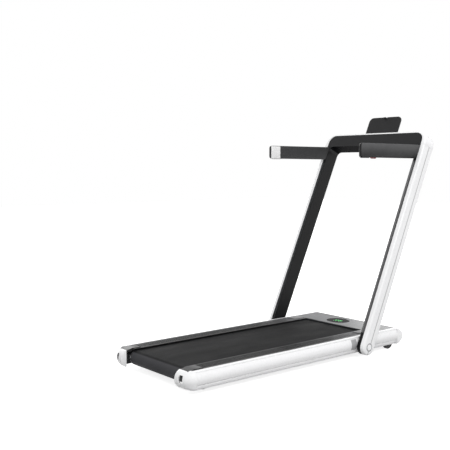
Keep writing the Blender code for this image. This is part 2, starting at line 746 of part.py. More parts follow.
def build_rear_cap(side, parent):
    """White corner casting with a slot through which the belt tension bolt is reached."""
    form = rear_cap_form(side, 0, REAR_CAP_LENGTH)

    def inner_rim(a, b):
        on_plane = near(abs(a.y), REAR_CAP_INNER) and near(abs(b.y), REAR_CAP_INNER)
        return on_plane and max(a.x, b.x) < REAR_CAP_LENGTH - EDGE_INSET

    form = round_edges(form, inner_rim, REAR_CAP_INNER_CORNER, 3)
    for start, reach in ((REAR_CAP_SHOULDER, GUARD_OUTER + SLIDE_GAP), (REAR_CAP_RIM_X, RIM_INNER)):
        form = cut(form, block((start, REAR_CAP_LENGTH + OVERCUT), (0, side * reach),
                               (RAIL_BOTTOM - OVERCUT, STRIP_TOP + OVERCUT)))
    form = cut(form, rear_cap_form(side, REAR_CAP_WALL, REAR_CAP_LENGTH + OVERCUT))
    near_side = TOOL_SLOT_Y - TOOL_SLOT_WIDTH / 2
    far_side = TOOL_SLOT_Y + TOOL_SLOT_WIDTH / 2
    slot_top = TOOL_SLOT_BOTTOM + TOOL_SLOT_HEIGHT
    slot = rounded([
        (near_side, TOOL_SLOT_BOTTOM, TOOL_SLOT_CORNER), (far_side, TOOL_SLOT_BOTTOM, TOOL_SLOT_CORNER),
        (far_side, slot_top, TOOL_SLOT_CORNER), (near_side, slot_top, TOOL_SLOT_CORNER),
    ], steps=2)
    slot = [(side * y, z) for y, z in slot]
    form = cut(form, extrude([slot], "x", -OVERCUT, REAR_CAP_SHOULDER / 2))
    add_part("rear_cap_" + side_name(side), form, WHITE_GLOSS, parent)


def nose_line(start, end, steps=12):
    """Half-oval front line in (x, z), angles in degrees from the horizontal."""
    points = []
    for step in range(steps + 1):
        angle = math.radians(start + (end - start) * step / steps)
        x = NOSE_X + NOSE_LENGTH * math.cos(angle)
        points.append((x, DECK_MID_Z + DECK_HALF_HEIGHT * math.sin(angle)))
    return points


def front_end(side):
    """Solid rounded front end of a side rail."""
    form = extrude([nose_line(90, -90)], "y", side * RIM_INNER, side * RAIL_OUTER)

    def on_rim(a, b):
        outer = near(abs(a.y), RAIL_OUTER) and near(abs(b.y), RAIL_OUTER)
        seam = near(a.x, NOSE_X) and near(b.x, NOSE_X)
        return outer and not seam

    return round_edges(form, on_rim, CAP_ROUNDING, 3)


def build_nose(parent):
    """Black half-round front between the rails, with the opening of the power panel."""
    line = ribbon(nose_line(90, NOSE_UNDERSIDE_ANGLE, 14), NOSE_SKIN)
    form = extrude([line], "y", -RIM_INNER + GAP, RIM_INNER - GAP)
    half = PANEL_WIDTH / 2 + GAP
    rise = PANEL_HEIGHT / 2 + GAP
    opening = block((PANEL_FACE_X - PANEL_DEPTH - OVERCUT, DECK_LENGTH + OVERCUT),
                    (PANEL_Y - half, PANEL_Y + half),
                    (DECK_MID_Z - rise, DECK_MID_Z + rise))
    add_part("nose_cover", cut(form, opening), BLACK_GLOSS, parent)


def wheel_bracket(side):
    """Plate welded to a beam's front end, with the axle of the transport wheel."""
    rear = BEAM_FRONT_X - WHEEL_PLATE_OVERLAP
    eye = WHEEL_PLATE_EYE
    corner = WHEEL_PLATE_CORNER
    plate = extrude([rounded([
        (rear, BEAM_BOTTOM + corner, corner), (WHEEL_X + eye, WHEEL_RADIUS - eye, eye),
        (WHEEL_X + eye, WHEEL_RADIUS + eye, eye), (rear, BEAM_TOP - 2 * corner, corner),
    ], steps=3)], "y", side * (BEAM_OUTER - WELD_OVERLAP), side * (BEAM_OUTER + WHEEL_PLATE))
    axle = rod((WHEEL_X, WHEEL_RADIUS), AXLE_RADIUS, side * (WHEEL_Y[0] - AXLE_PROUD), side * BEAM_OUTER,
               segments=14)
    return join(plate, axle)


def hinge_bracket(side):
    """Plate welded to a beam, with the boss that comes out through the rail and carries the frame."""
    reach = BRACKET_HALF_LENGTH
    low = BEAM_BOTTOM + EDGE_INSET
    high = BEAM_TOP - EDGE_INSET
    plate = extrude([rounded([
        (PIVOT_X - reach, low, BRACKET_CORNER), (PIVOT_X + reach, low, BRACKET_CORNER),
        (PIVOT_X + reach, high, BRACKET_CORNER), (PIVOT_X - reach, high, BRACKET_CORNER),
    ], steps=3)], "y", side * (BEAM_OUTER - WELD_OVERLAP), side * (BEAM_OUTER + BRACKET_PLATE))
    centre = (PIVOT_X, PIVOT_Z)
    boss = rod(centre, BOSS_RADIUS, side * (BEAM_OUTER + EDGE_INSET), side * (UPRIGHT_INNER - GAP - EDGE_INSET),
               segments=28)
    flange = rod(centre, BOSS_FLANGE_RADIUS, side * (RAIL_OUTER + SLIDE_GAP), side * (UPRIGHT_INNER - GAP),
                 segments=32)
    return join(join(plate, boss), flange)


def build_side_beam(side, parent):
    """Steel tube of the base with its brackets, closed at the rear by the tension bolt's plate."""
    y = (side * BEAM_INNER, side * BEAM_OUTER)
    form = block((BEAM_REAR_X, BEAM_FRONT_X), y, (BEAM_BOTTOM, BEAM_TOP))
    inside_y = (side * (BEAM_INNER + BEAM_WALL), side * (BEAM_OUTER - BEAM_WALL))
    hollow = block((BEAM_REAR_X + BEAM_END_PLATE, BEAM_FRONT_X + OVERCUT), inside_y,
                   (BEAM_BOTTOM + BEAM_WALL, BEAM_TOP - BEAM_WALL))
    form = cut(form, hollow)
    bolt_hole = rod((side * BEAM_MIDDLE, ROLLER_Z), BOLT_RADIUS + GAP,
                    BEAM_REAR_X - OVERCUT, BEAM_REAR_X + OVERCUT, "x", 16)
    form = cut(form, bolt_hole)
    reach = SHAFT_RADIUS + TENSION_TRAVEL
    slot = block((REAR_ROLLER_X - reach, REAR_ROLLER_X + reach),
                 (side * (BEAM_INNER - OVERCUT), side * (BEAM_INNER + 2 * BEAM_WALL)),
                 (ROLLER_Z - SHAFT_RADIUS - GAP, ROLLER_Z + SHAFT_RADIUS + GAP))
    form = join(cut(form, slot), wheel_bracket(side))
    form = join(form, hinge_bracket(side))
    bore = rod((PIVOT_X, PIVOT_Z), PIVOT_BOLT_RADIUS + GAP, side * BEAM_MIDDLE, side * SHELL_OUTER,
               segments=24)
    add_part("side_beam_" + side_name(side), cut(form, bore), STEEL, parent)


def build_cross_members(parent):
    """Three like steel tubes across the base."""
    half = CROSS_MEMBER_WIDTH / 2
    wall = CROSS_MEMBER_WALL
    for place, x in zip(("rear", "middle", "front"), CROSS_MEMBER_X):
        rim = [
            (x - half, CROSS_BOTTOM), (x + half, CROSS_BOTTOM), (x + half, CROSS_TOP), (x - half, CROSS_TOP),
        ]
        bore = [(x - half + wall, CROSS_BOTTOM + wall), (x + half - wall, CROSS_BOTTOM + wall),
                (x + half - wall, CROSS_TOP - wall), (x - half + wall, CROSS_TOP - wall)]
        form = extrude([rim, bore], "y", -BEAM_INNER + GAP, BEAM_INNER - GAP)
        add_part("cross_member_" + place, form, STEEL, parent)


def build_board(parent):
    """Running board and the rubber cushion strips that carry it on the cross members."""
    reach = BELT_OUTER_RADIUS + BOARD_END_CLEARANCE
    board = block((REAR_ROLLER_X + reach, FRONT_ROLLER_X - reach), (-BOARD_HALF_WIDTH, BOARD_HALF_WIDTH),
                  (BOARD_TOP - BOARD_THICKNESS, BOARD_TOP))
    add_part("running_board", board, BOARD_WOOD, parent)
    low = CROSS_TOP + GAP
    ends = (CROSS_MEMBER_X[0] - CROSS_MEMBER_WIDTH / 2, CROSS_MEMBER_X[-1] + CROSS_MEMBER_WIDTH / 2)
    for side in (1, -1):
        across = (side * (CUSHION_Y - CUSHION_WIDTH / 2), side * (CUSHION_Y + CUSHION_WIDTH / 2))
        add_part("deck_cushion_" + side_name(side), block(ends, across, (low, CUSHION_TOP)), RUBBER, parent)


def belt_line(rear, rear_radius, front, front_radius, steps):
    """Closed line of a belt stretched round two circles in (x, z)."""
    distance = front[0] - rear[0]
    lean = math.degrees(math.asin((rear_radius - front_radius) / distance))
    line = arc(rear, rear_radius, 90 - lean, 270 + lean, steps)
    return line + arc(front, front_radius, -90 + lean, 90 - lean, steps)


def build_walking_belt(parent):
    """Endless walking belt round both rollers."""
    rear = (REAR_ROLLER_X, ROLLER_Z)
    front = (FRONT_ROLLER_X, ROLLER_Z)
    outer = belt_line(rear, BELT_OUTER_RADIUS, front, BELT_OUTER_RADIUS, 14)
    inner = belt_line(rear, BELT_INNER_RADIUS, front, BELT_INNER_RADIUS, 14)
    form = extrude([outer, inner], "y", -BELT_HALF_WIDTH, BELT_HALF_WIDTH)
    add_part("walking_belt", form, BELT_PVC, parent)


def build_rollers(parent):
    """Front and rear rollers on their axes, and the shafts with the bearings they turn on."""
    bore = BEARING_OUTER + GAP
    plug = ROLLER_HALF_LENGTH - ROLLER_PLUG
    inside = ROLLER_RADIUS - ROLLER_WALL
    plain = [
        (ROLLER_RADIUS, -ROLLER_HALF_LENGTH), (ROLLER_RADIUS, ROLLER_HALF_LENGTH),
        (bore, ROLLER_HALF_LENGTH), (bore, plug), (inside, plug),
        (inside, -plug), (bore, -plug), (bore, -ROLLER_HALF_LENGTH),
    ]
    neck = ROLLER_PULLEY_RADIUS - ROLLER_PULLEY_RIM
    driven = [
        (ROLLER_RADIUS, -ROLLER_HALF_LENGTH), (ROLLER_RADIUS, ROLLER_HALF_LENGTH),
        (neck, ROLLER_HALF_LENGTH), (neck, PULLEY_Y[0]), (ROLLER_PULLEY_RADIUS, PULLEY_Y[0]),
        (ROLLER_PULLEY_RADIUS, PULLEY_Y[1]), (bore, PULLEY_Y[1]), (bore, plug),
        (inside, plug), (inside, -plug), (bore, -plug), (bore, -ROLLER_HALF_LENGTH),
    ]
    for name, x, profile in (("rear_roller", REAR_ROLLER_X, plain), ("front_roller", FRONT_ROLLER_X, driven)):
        axis = add_empty(name + "_axis", parent, (x, 0, ROLLER_Z))
        add_part(name, turned_along_y(profile, 28, True), STEEL, axis)
    for place, x, reach in (("rear", REAR_ROLLER_X, BEAM_OUTER - BEAM_WALL - GAP),
                            ("front", FRONT_ROLLER_X, BEAM_INNER - GAP)):
        form = rod((x, ROLLER_Z), SHAFT_RADIUS, -reach, reach)
        for side in (1, -1):
            low, high = sorted((side * (plug + EDGE_INSET), side * (ROLLER_HALF_LENGTH - EDGE_INSET)))
            form = join(form, rod((x, ROLLER_Z), BEARING_OUTER, low, high, segments=24))
        add_part("roller_shaft_" + place, form, STEEL, parent)


def build_tension_bolts(parent):
    """Two bolts that pull the rear roller's shaft back through the beams' end plates."""
    for side in (1, -1):
        centre = (side * BEAM_MIDDLE, ROLLER_Z)
        rear = BEAM_REAR_X - BOLT_HEAD_LENGTH
        head = rod(centre, BOLT_HEAD_RADIUS, rear, BEAM_REAR_X - GAP, "x", 6)
        socket = rod(centre, BOLT_SOCKET_RADIUS, rear - OVERCUT, rear + BOLT_SOCKET_DEPTH, "x", 6)
        tip = REAR_ROLLER_X - SHAFT_RADIUS - GAP
        shank = rod(centre, BOLT_RADIUS, BEAM_REAR_X - 2 * EDGE_INSET, tip, "x", 12)
        add_part("tension_bolt_" + side_name(side), join(cut(head, socket), shank), STEEL, parent)


def build_foot_strip(side, parent):
    """Ribbed black strip beside the belt, on two legs on the side beam, with a low block at its front."""
    low = STRIP_TOP - STRIP_THICKNESS
    outer = RIM_INNER - GAP
    line = [(STRIP_INNER, low), (STRIP_INNER, STRIP_TOP - STRIP_CHAMFER)]
    line.append((STRIP_INNER + STRIP_CHAMFER, STRIP_TOP))
    rib_start = STRIP_INNER + STRIP_MARGIN
    ribs = int((outer - STRIP_MARGIN - rib_start) / STRIP_RIB_PITCH)
    slope = STRIP_RIB_PITCH / 10
    groove = STRIP_RIB_PITCH / 2
    for rib in range(ribs):
        y = rib_start + rib * STRIP_RIB_PITCH
        floor = STRIP_TOP - STRIP_RIB_HEIGHT
        line += [(y, STRIP_TOP), (y + slope, floor), (y + groove - slope, floor), (y + groove, STRIP_TOP)]
    line += [(outer, STRIP_TOP), (outer, low)]
    foot = BEAM_TOP + GAP
    outer_leg = BEAM_OUTER - STRIP_LEG_INSET
    inner_leg = BEAM_INNER + STRIP_LEG_INSET
    line += [(outer_leg, low), (outer_leg, foot), (outer_leg - STRIP_LEG, foot), (outer_leg - STRIP_LEG, low)]
    line += [(inner_leg + STRIP_LEG, low), (inner_leg + STRIP_LEG, foot), (inner_leg, foot), (inner_leg, low)]
    outline = [(side * y, z) for y, z in line]
    form = extrude([outline], "x", STRIP_REAR_X, COVER_REAR_X - GAP)
    form = join(form, block((REAR_CAP_RIM_X + GAP, STRIP_REAR_X + WELD_OVERLAP),
                            (side * (GUARD_OUTER + SLIDE_GAP), side * outer), (low, STRIP_TOP)))
    end_block = block(END_BLOCK_X, (side * GUARD_INNER, side * GUARD_OUTER),
                      (STRIP_TOP - 2 * EDGE_INSET, STRIP_TOP + END_BLOCK_HEIGHT))

    def on_top(a, b):
        return a.z > STRIP_TOP and b.z > STRIP_TOP

    form = join(form, round_edges(end_block, on_top, END_BLOCK_ROUNDING, 2))
    add_part("foot_strip_" + side_name(side), form, BLACK_GLOSS, parent)


def build_corner_guards(parent):
    """Grey wedges over the rear ends of the strips, sloping down towards the roller."""
    low = STRIP_TOP + GAP
    front = STRIP_REAR_X + GUARD_LENGTH
    rear = REAR_CAP_SHOULDER + SLIDE_GAP
    high = low + GUARD_THICKNESS
    skirt = STRIP_TOP - GUARD_SKIRT
    seat = STRIP_REAR_X - GAP
    for side in (1, -1):
        line = [
            (front, low), (front - GUARD_FRONT_SLOPE, high), (STRIP_REAR_X, high),
            (rear, high - GUARD_REAR_DROP), (rear, skirt), (seat, skirt), (seat, low),
        ]
        form = extrude([line], "y", side * GUARD_INNER, side * GUARD_OUTER)
        add_part("corner_guard_" + side_name(side), form, GREY_SATIN, parent)


def build_motor_cover(parent):
    """Flat cover over the motor with a turned-down rear lip, two legs and the display opening."""
    line = [(COVER_REAR_X, STRIP_TOP - COVER_LIP), (COVER_REAR_X, STRIP_TOP - COVER_EDGE),
            (COVER_REAR_X + COVER_EDGE, STRIP_TOP), (NOSE_X - GAP, STRIP_TOP)]
    form = extrude([ribbon(line, COVER_SKIN)], "y", -RIM_INNER + GAP, RIM_INNER - GAP)
    for side in (1, -1):
        middle = side * BEAM_MIDDLE
        leg = block(COVER_LEG_X, (middle - COVER_LEG / 2, middle + COVER_LEG / 2),
                    (BEAM_TOP + GAP, STRIP_TOP - COVER_SKIN / 2))
        form = join(form, leg)
    hole = oval((DISPLAY_X, DISPLAY_Y), DISPLAY_HALF_LENGTH + GAP, DISPLAY_HALF_WIDTH + GAP, 32)
    form = cut(form, extrude([hole], "z", STRIP_TOP - OVERCUT, STRIP_TOP + OVERCUT))
    add_part("motor_cover", form, GREY_SATIN, parent)
    lens = oval((DISPLAY_X, DISPLAY_Y), DISPLAY_HALF_LENGTH, DISPLAY_HALF_WIDTH, 32)
    form = extrude([lens], "z", STRIP_TOP - LENS_THICKNESS, STRIP_TOP + GAP)
    add_part("display_window", form, BLACK_GLOSS, parent)
    top = STRIP_TOP - LENS_THICKNESS - GAP
    half_x = DISPLAY_HALF_LENGTH - DISPLAY_BOARD_INSET[0]
    half_y = DISPLAY_HALF_WIDTH - DISPLAY_BOARD_INSET[1]
    board = block((DISPLAY_X - half_x, DISPLAY_X + half_x), (DISPLAY_Y - half_y, DISPLAY_Y + half_y),
                  (top - BOARD_PCB, top))
    add_part("display_board", board, GREEN_BOARD, parent)


def build_motor_tray(parent):
    """Steel tray between the beams with the saddle that carries the motor."""
    half = BEAM_INNER - GAP
    line = [(-half, TRAY_BOTTOM + TRAY_FLANGE_HEIGHT), (-half, TRAY_BOTTOM), (half, TRAY_BOTTOM),
            (half, TRAY_BOTTOM + TRAY_FLANGE_HEIGHT)]
    outline = ribbon(line[::-1], TRAY_SHEET)
    lip = nose_line(NOSE_UNDERSIDE_ANGLE, NOSE_UNDERSIDE_ANGLE, 1)[0]
    front = lip[0] - NOSE_SKIN / 3
    form = extrude([outline], "x", TRAY_REAR_X, front)
    base = TRAY_TOP - WELD_OVERLAP
    cradle = arc((MOTOR_X, MOTOR_Z), MOTOR_RADIUS + GAP, SADDLE_ANGLE - 90, -SADDLE_ANGLE - 90, 8)
    half = SADDLE_LENGTH / 2
    saddle = [(MOTOR_X - half, base), (MOTOR_X + half, base), (MOTOR_X + half, cradle[0][1])]
    saddle += cradle + [(MOTOR_X - half, cradle[0][1])]
    form = join(form, extrude([saddle], "y", MOTOR_Y[0] + SADDLE_INSET, MOTOR_Y[1] - SADDLE_INSET))
    add_part("motor_tray", form, STEEL, parent)


def build_drive(parent):
    """Motor, the turning rotor, the drive belt and the controller."""
    form = rod((MOTOR_X, MOTOR_Z), MOTOR_RADIUS, *MOTOR_Y, segments=32)
    form = round_edges(form, lambda a, b: near(a.y, b.y), MOTOR_ROUNDING, 2)
    add_part("motor", form, STEEL, parent)
    axis = add_empty("motor_axis", parent, (MOTOR_X, 0, MOTOR_Z))
    end = MOTOR_Y[1] + GAP
    profile = [
        (0, end), (MOTOR_SHAFT_RADIUS, end), (MOTOR_SHAFT_RADIUS, FLYWHEEL_Y[0]),
        (FLYWHEEL_RADIUS, FLYWHEEL_Y[0]), (FLYWHEEL_RADIUS, FLYWHEEL_Y[1]),
        (MOTOR_SHAFT_RADIUS, FLYWHEEL_Y[1]), (MOTOR_SHAFT_RADIUS, PULLEY_Y[0]),
        (MOTOR_PULLEY_RADIUS, PULLEY_Y[0]), (MOTOR_PULLEY_RADIUS, PULLEY_Y[1]), (0, PULLEY_Y[1]),
    ]
    add_part("motor_rotor", turned_along_y(profile, 24, False), STEEL, axis)
    rear = (FRONT_ROLLER_X, ROLLER_Z)
    front = (MOTOR_X, MOTOR_Z)
    inner = belt_line(rear, ROLLER_PULLEY_RADIUS + GAP, front, MOTOR_PULLEY_RADIUS + GAP, 12)
    grown = GAP + DRIVE_BELT_THICKNESS
    outer = belt_line(rear, ROLLER_PULLEY_RADIUS + grown, front, MOTOR_PULLEY_RADIUS + grown, 12)
    form = extrude([outer, inner], "y", PULLEY_Y[0] + DRIVE_BELT_INSET, PULLEY_Y[1] - DRIVE_BELT_INSET)
    add_part("drive_belt", form, RUBBER, parent)
    base = TRAY_TOP + GAP
    fin_top = base + CONTROLLER_HEIGHT + CONTROLLER_FIN_HEIGHT
    fin_root = base + CONTROLLER_HEIGHT
    pitch = (CONTROLLER_Y[1] - CONTROLLER_Y[0]) / CONTROLLER_FINS
    width = pitch * CONTROLLER_FIN_SHARE
    comb = [(CONTROLLER_Y[1], fin_root), (CONTROLLER_Y[1], base), (CONTROLLER_Y[0], base)]
    for fin in range(CONTROLLER_FINS):
        y = CONTROLLER_Y[0] + fin * pitch
        if fin > 0:
            comb.append((y, fin_root))
        comb += [(y, fin_top), (y + width, fin_top), (y + width, fin_root)]
    add_part("controller", extrude([comb], "x", *CONTROLLER_X), STEEL, parent)


def build_power_panel(parent):
    """Panel that fills the opening in the nose, with the mains inlet and the rocker switch."""
    face = PANEL_FACE_X
    rise = PANEL_HEIGHT / 2
    form = block((face - PANEL_DEPTH, face), (PANEL_Y - PANEL_WIDTH / 2, PANEL_Y + PANEL_WIDTH / 2),
                 (DECK_MID_Z - rise, DECK_MID_Z + rise))
    socket = block((face - INLET_DEPTH, face + OVERCUT), (INLET_Y - INLET_WIDTH / 2, INLET_Y + INLET_WIDTH / 2),
                   (DECK_MID_Z - INLET_HEIGHT / 2, DECK_MID_Z + INLET_HEIGHT / 2))
    form = cut(form, socket)
    reach = ROCKER_AXIS_DEPTH
    half = ROCKER_HALF_HEIGHT
    tip_angle = math.atan2(half, reach) + math.radians(ROCKER_TILT)
    hole_half = math.hypot(half, reach) * math.sin(tip_angle) + GAP
    half_width = ROCKER_WIDTH / 2 + GAP
    form = cut(form, block((face - ROCKER_POCKET_DEPTH, face + OVERCUT),
                           (ROCKER_Y - half_width, ROCKER_Y + half_width),
                           (DECK_MID_Z - hole_half, DECK_MID_Z + hole_half)))
    add_part("power_panel", form, BLACK_SATIN, parent)
    axis = add_empty("rocker_axis", parent, (face - reach, ROCKER_Y, DECK_MID_Z), math.radians(ROCKER_TILT))
    outline = [
        (reach, half), (reach - ROCKER_DISH, 0), (reach, -half), (reach / 2, -half),
        (-ROCKER_HEEL_DEPTH, -ROCKER_HEEL_HALF), (-ROCKER_HEEL_DEPTH, ROCKER_HEEL_HALF), (reach / 2, half),
    ]
    form = extrude([outline], "y", -ROCKER_WIDTH / 2, ROCKER_WIDTH / 2)
    add_part("power_rocker", form, RED_PLASTIC, axis)


def build_wheels(parent):
    """Transport wheels under the front."""
    bore = AXLE_RADIUS + GAP
    middle = (WHEEL_Y[0] + WHEEL_Y[1]) / 2
    half = WHEEL_WIDTH / 2
    tyre = WHEEL_RADIUS - WHEEL_TYRE
    for side in (1, -1):
        axis = add_empty("wheel_axis_" + side_name(side), parent, (WHEEL_X, side * middle, WHEEL_RADIUS))
        outwards = [
            (bore, half), (tyre - WHEEL_GROOVE, half), (tyre - WHEEL_GROOVE / 2, half - WHEEL_GROOVE_DEPTH),
            (tyre, half), (WHEEL_RADIUS - WHEEL_CHAMFER, half), (WHEEL_RADIUS, half - WHEEL_CHAMFER),
        ]
        profile = outwards + [(radius, -y) for radius, y in outwards[::-1]]
        add_part("wheel_" + side_name(side), turned_along_y(profile, 28, True), RUBBER, axis)


def build_feet(parent):
    """Rubber feet on studs under the rear cross member."""
    top = CROSS_BOTTOM - GAP
    shoulder = CROSS_BOTTOM - FOOT_STUD_LENGTH - FOOT_STEP
    neck = FOOT_RADIUS - FOOT_STEP
    for side in (1, -1):
        profile = [
            (0, top), (FOOT_STUD_RADIUS, top), (FOOT_STUD_RADIUS, shoulder + FOOT_STEP), (neck, shoulder),
            (neck, FOOT_PAD_HEIGHT), (FOOT_RADIUS, FOOT_PAD_HEIGHT - FOOT_CHAMFER),
            (FOOT_RADIUS, FOOT_CHAMFER),
            (FOOT_RADIUS - FOOT_CHAMFER, 0), (0, 0),
        ]
        form = turned(profile, 20, False)
        form.transform(Matrix.Translation((CROSS_MEMBER_X[0], side * FOOT_Y, 0)))
        add_part("rubber_foot_" + side_name(side), form, RUBBER, parent)


def build_upright(side, frame):
    """One upright: black channel open to the rear, white outer shell and the steel tube in it."""
    top = CROSSBAR_BOTTOM - GAP
    plain_end = arc((0, 0), FRAME_HALF, 180, 360, 16)
    outline = plain_end + [(FRAME_HALF, top), (-FRAME_HALF, top)]
    form = extrude([outline], "y", side * UPRIGHT_INNER, side * (SHELL_INNER - GAP))
    pocket = block((-FRAME_HALF - OVERCUT, FRAME_HALF - CHANNEL_WALL),
                   (side * (UPRIGHT_INNER + CHANNEL_WALL), side * (SHELL_INNER + OVERCUT)),
                   (CHANNEL_BLOCK, top + OVERCUT))
    form = cut(form, pocket)
    bore = rod((0, 0), PIVOT_BOLT_RADIUS + GAP,
               side * (UPRIGHT_INNER - OVERCUT), side * (SHELL_INNER + OVERCUT),
               segments=24)
    add_part("upright_channel_" + side_name(side), cut(form, bore), BLACK_SATIN, frame)

    outline = plain_end + [(FRAME_HALF, SHELL_TOP), (-FRAME_HALF, SHELL_TOP)]
    form = extrude([outline], "y", side * SHELL_INNER, side * SHELL_OUTER)

    def on_rim(a, b):
        outer = near(abs(a.y), SHELL_OUTER) and near(abs(b.y), SHELL_OUTER)
        seam = near(a.z, SHELL_TOP) and near(b.z, SHELL_TOP)
        return outer and not seam

    form = round_edges(form, on_rim, SHELL_ROUNDING, 3)
    inside = FRAME_HALF - SHELL_WALL
    hollow = arc((0, 0), inside, 180, 360, 12)
    hollow += [(inside, SHELL_TOP + OVERCUT), (-inside, SHELL_TOP + OVERCUT)]
    inner_face = side * (SHELL_OUTER - SHELL_FACE_WALL)
    form = cut(form, extrude([hollow], "y", side * (SHELL_INNER - OVERCUT), inner_face))
    hole = rod((0, 0), LOCK_BUTTON_RADIUS + GAP, side * SHELL_INNER, side * (SHELL_OUTER + OVERCUT),
               segments=28)
    add_part("upright_shell_" + side_name(side), cut(form, hole), WHITE_GLOSS, frame)

    half = TUBE_HALF_DEPTH
    wall = TUBE_WALL
    form = block((-half, half), (side * TUBE_INNER, side * TUBE_OUTER), (-TUBE_FOOT, SHELL_TOP - GAP))
    form = cut(form, block((-half + wall, half - wall),
                           (side * (TUBE_INNER + wall), side * (TUBE_OUTER - wall)),
                           (-TUBE_FOOT - OVERCUT, SHELL_TOP + OVERCUT)))
    bore = rod((0, 0), PIVOT_BOLT_RADIUS + GAP, side * (TUBE_INNER - OVERCUT), side * (TUBE_OUTER + OVERCUT),
               segments=24)
    add_part("upright_tube_" + side_name(side), cut(form, bore), STEEL, frame)


def top_tube_outline(grow):
    """Bent steel tube of the crossbar in (y, u), grown by a clearance."""
    low = SHELL_TOP + GAP - grow
    bottom = CROSSBAR_BOTTOM + TOP_TUBE_RISE
    top = bottom + TOP_TUBE_HEIGHT
    return rounded([
        (TUBE_OUTER + grow, low, 0), (TUBE_OUTER + grow, top + grow, TOP_TUBE_BEND + grow),
        (-TUBE_OUTER - grow, top + grow, TOP_TUBE_BEND + grow), (-TUBE_OUTER - grow, low, 0),
        (-TUBE_INNER + grow, low, 0), (-TUBE_INNER + grow, bottom - grow, TOP_TUBE_CROTCH - grow),
        (TUBE_INNER - grow, bottom - grow, TOP_TUBE_CROTCH - grow), (TUBE_INNER - grow, low, 0),
    ], steps=5)


def build_crossbar(frame):
    """Black housing, bent steel tube inside it and white trim round the outside."""
    edge = SHELL_INNER - GAP
    inner = UPRIGHT_INNER - GAP
    gusset = arc((-inner + GUSSET_RADIUS, CROSSBAR_BOTTOM - GUSSET_RADIUS), GUSSET_RADIUS, 180, 90, 5)
    outline = rounded([
        (edge, CROSSBAR_BOTTOM, 0), (edge, CROSSBAR_TOP, CROSSBAR_CORNER),
        (-edge, CROSSBAR_TOP, CROSSBAR_CORNER), (-edge, CROSSBAR_BOTTOM, 0), (-inner, CROSSBAR_BOTTOM, 0),
    ], steps=7)
    outline += gusset + [(-y, u) for y, u in gusset[::-1]] + [(inner, CROSSBAR_BOTTOM)]
    form = extrude([outline], "x", -FRAME_HALF, FRAME_HALF)
    wall = CROSSBAR_WALL
    corner = CROSSBAR_CORNER - wall
    straight = edge - CROSSBAR_CORNER - CROSSBAR_LEDGE
    ceiling = CROSSBAR_TOP - wall
    above = CROSSBAR_TOP + OVERCUT
    hollow = rounded([
        (edge - wall, CROSSBAR_BOTTOM + wall, 0), (edge - wall, ceiling, corner), (straight, ceiling, 0),
        (straight, above, 0), (-straight, above, 0), (-straight, ceiling, 0),
        (-edge + wall, ceiling, corner), (-edge + wall, CROSSBAR_BOTTOM + wall, 0),
    ], steps=7)
    form = cut(form, extrude([hollow], "x", -FRAME_HALF + wall, FRAME_HALF - wall))
    depth = TOP_TUBE_HALF_DEPTH + TUBE_FIT
    form = cut(form, extrude([top_tube_outline(TUBE_FIT)], "x", -depth, depth))
    stub_depth = KEY_STUB_HALF_DEPTH + GAP
    stub_width = KEY_STUB_HALF_WIDTH + GAP
    form = cut(form, block((KEY_N - stub_depth, KEY_N + stub_depth), (KEY_Y - stub_width, KEY_Y + stub_width),
                           (CROSSBAR_BOTTOM - OVERCUT, CROSSBAR_BOTTOM + 2 * wall)))
    add_part("crossbar_housing", form, BLACK_SATIN, frame)

    form = extrude([top_tube_outline(0)], "x", -TOP_TUBE_HALF_DEPTH, TOP_TUBE_HALF_DEPTH)
    trough = top_tube_outline(-TOP_TUBE_WALL)
    form = cut(form, extrude([trough], "x", -TOP_TUBE_HALF_DEPTH + TOP_TUBE_WALL,
                             TOP_TUBE_HALF_DEPTH + OVERCUT))
    add_part("crossbar_tube", form, STEEL, frame)

    inside = CROSSBAR_TOP + GAP
    low = SHELL_TOP + GAP
    outline = rounded([
        (SHELL_OUTER, low, 0), (SHELL_OUTER, FRAME_TOP, TRIM_CORNER),
        (-SHELL_OUTER, FRAME_TOP, TRIM_CORNER), (-SHELL_OUTER, low, 0), (-SHELL_INNER, low, 0),
        (-SHELL_INNER, inside, CROSSBAR_CORNER + GAP), (SHELL_INNER, inside, CROSSBAR_CORNER + GAP),
        (SHELL_INNER, low, 0),
    ], steps=9)
    form = extrude([outline], "x", -FRAME_HALF, FRAME_HALF)

    def on_rim(a, b):
        face = near(a.x, b.x) and near(abs(a.x), FRAME_HALF)
        seam = near(a.z, low) and near(b.z, low)
        outside = all(abs(p.y) > SHELL_OUTER - EDGE_INSET or p.z > CROSSBAR_TOP + TRIM_THICKNESS / 2
                      or math.hypot(abs(p.y) - SHELL_OUTER + TRIM_CORNER, p.z - FRAME_TOP + TRIM_CORNER)
                      > TRIM_CORNER - EDGE_INSET for p in (a, b))
        return face and outside and not seam

    form = round_edges(form, on_rim, SHELL_ROUNDING, 3)
    form = cut(form, extrude([top_tube_outline(TUBE_FIT)], "x", -depth, depth))
    half = REST_THICKNESS / 2 + GAP
    form = cut(form, block((REST_N - half, REST_N + half),
                           (-REST_TONGUE_HALF_WIDTH - GAP, REST_TONGUE_HALF_WIDTH + GAP),
                           (CROSSBAR_TOP - OVERCUT, FRAME_TOP + OVERCUT)))
    add_part("crossbar_trim", form, WHITE_GLOSS, frame)


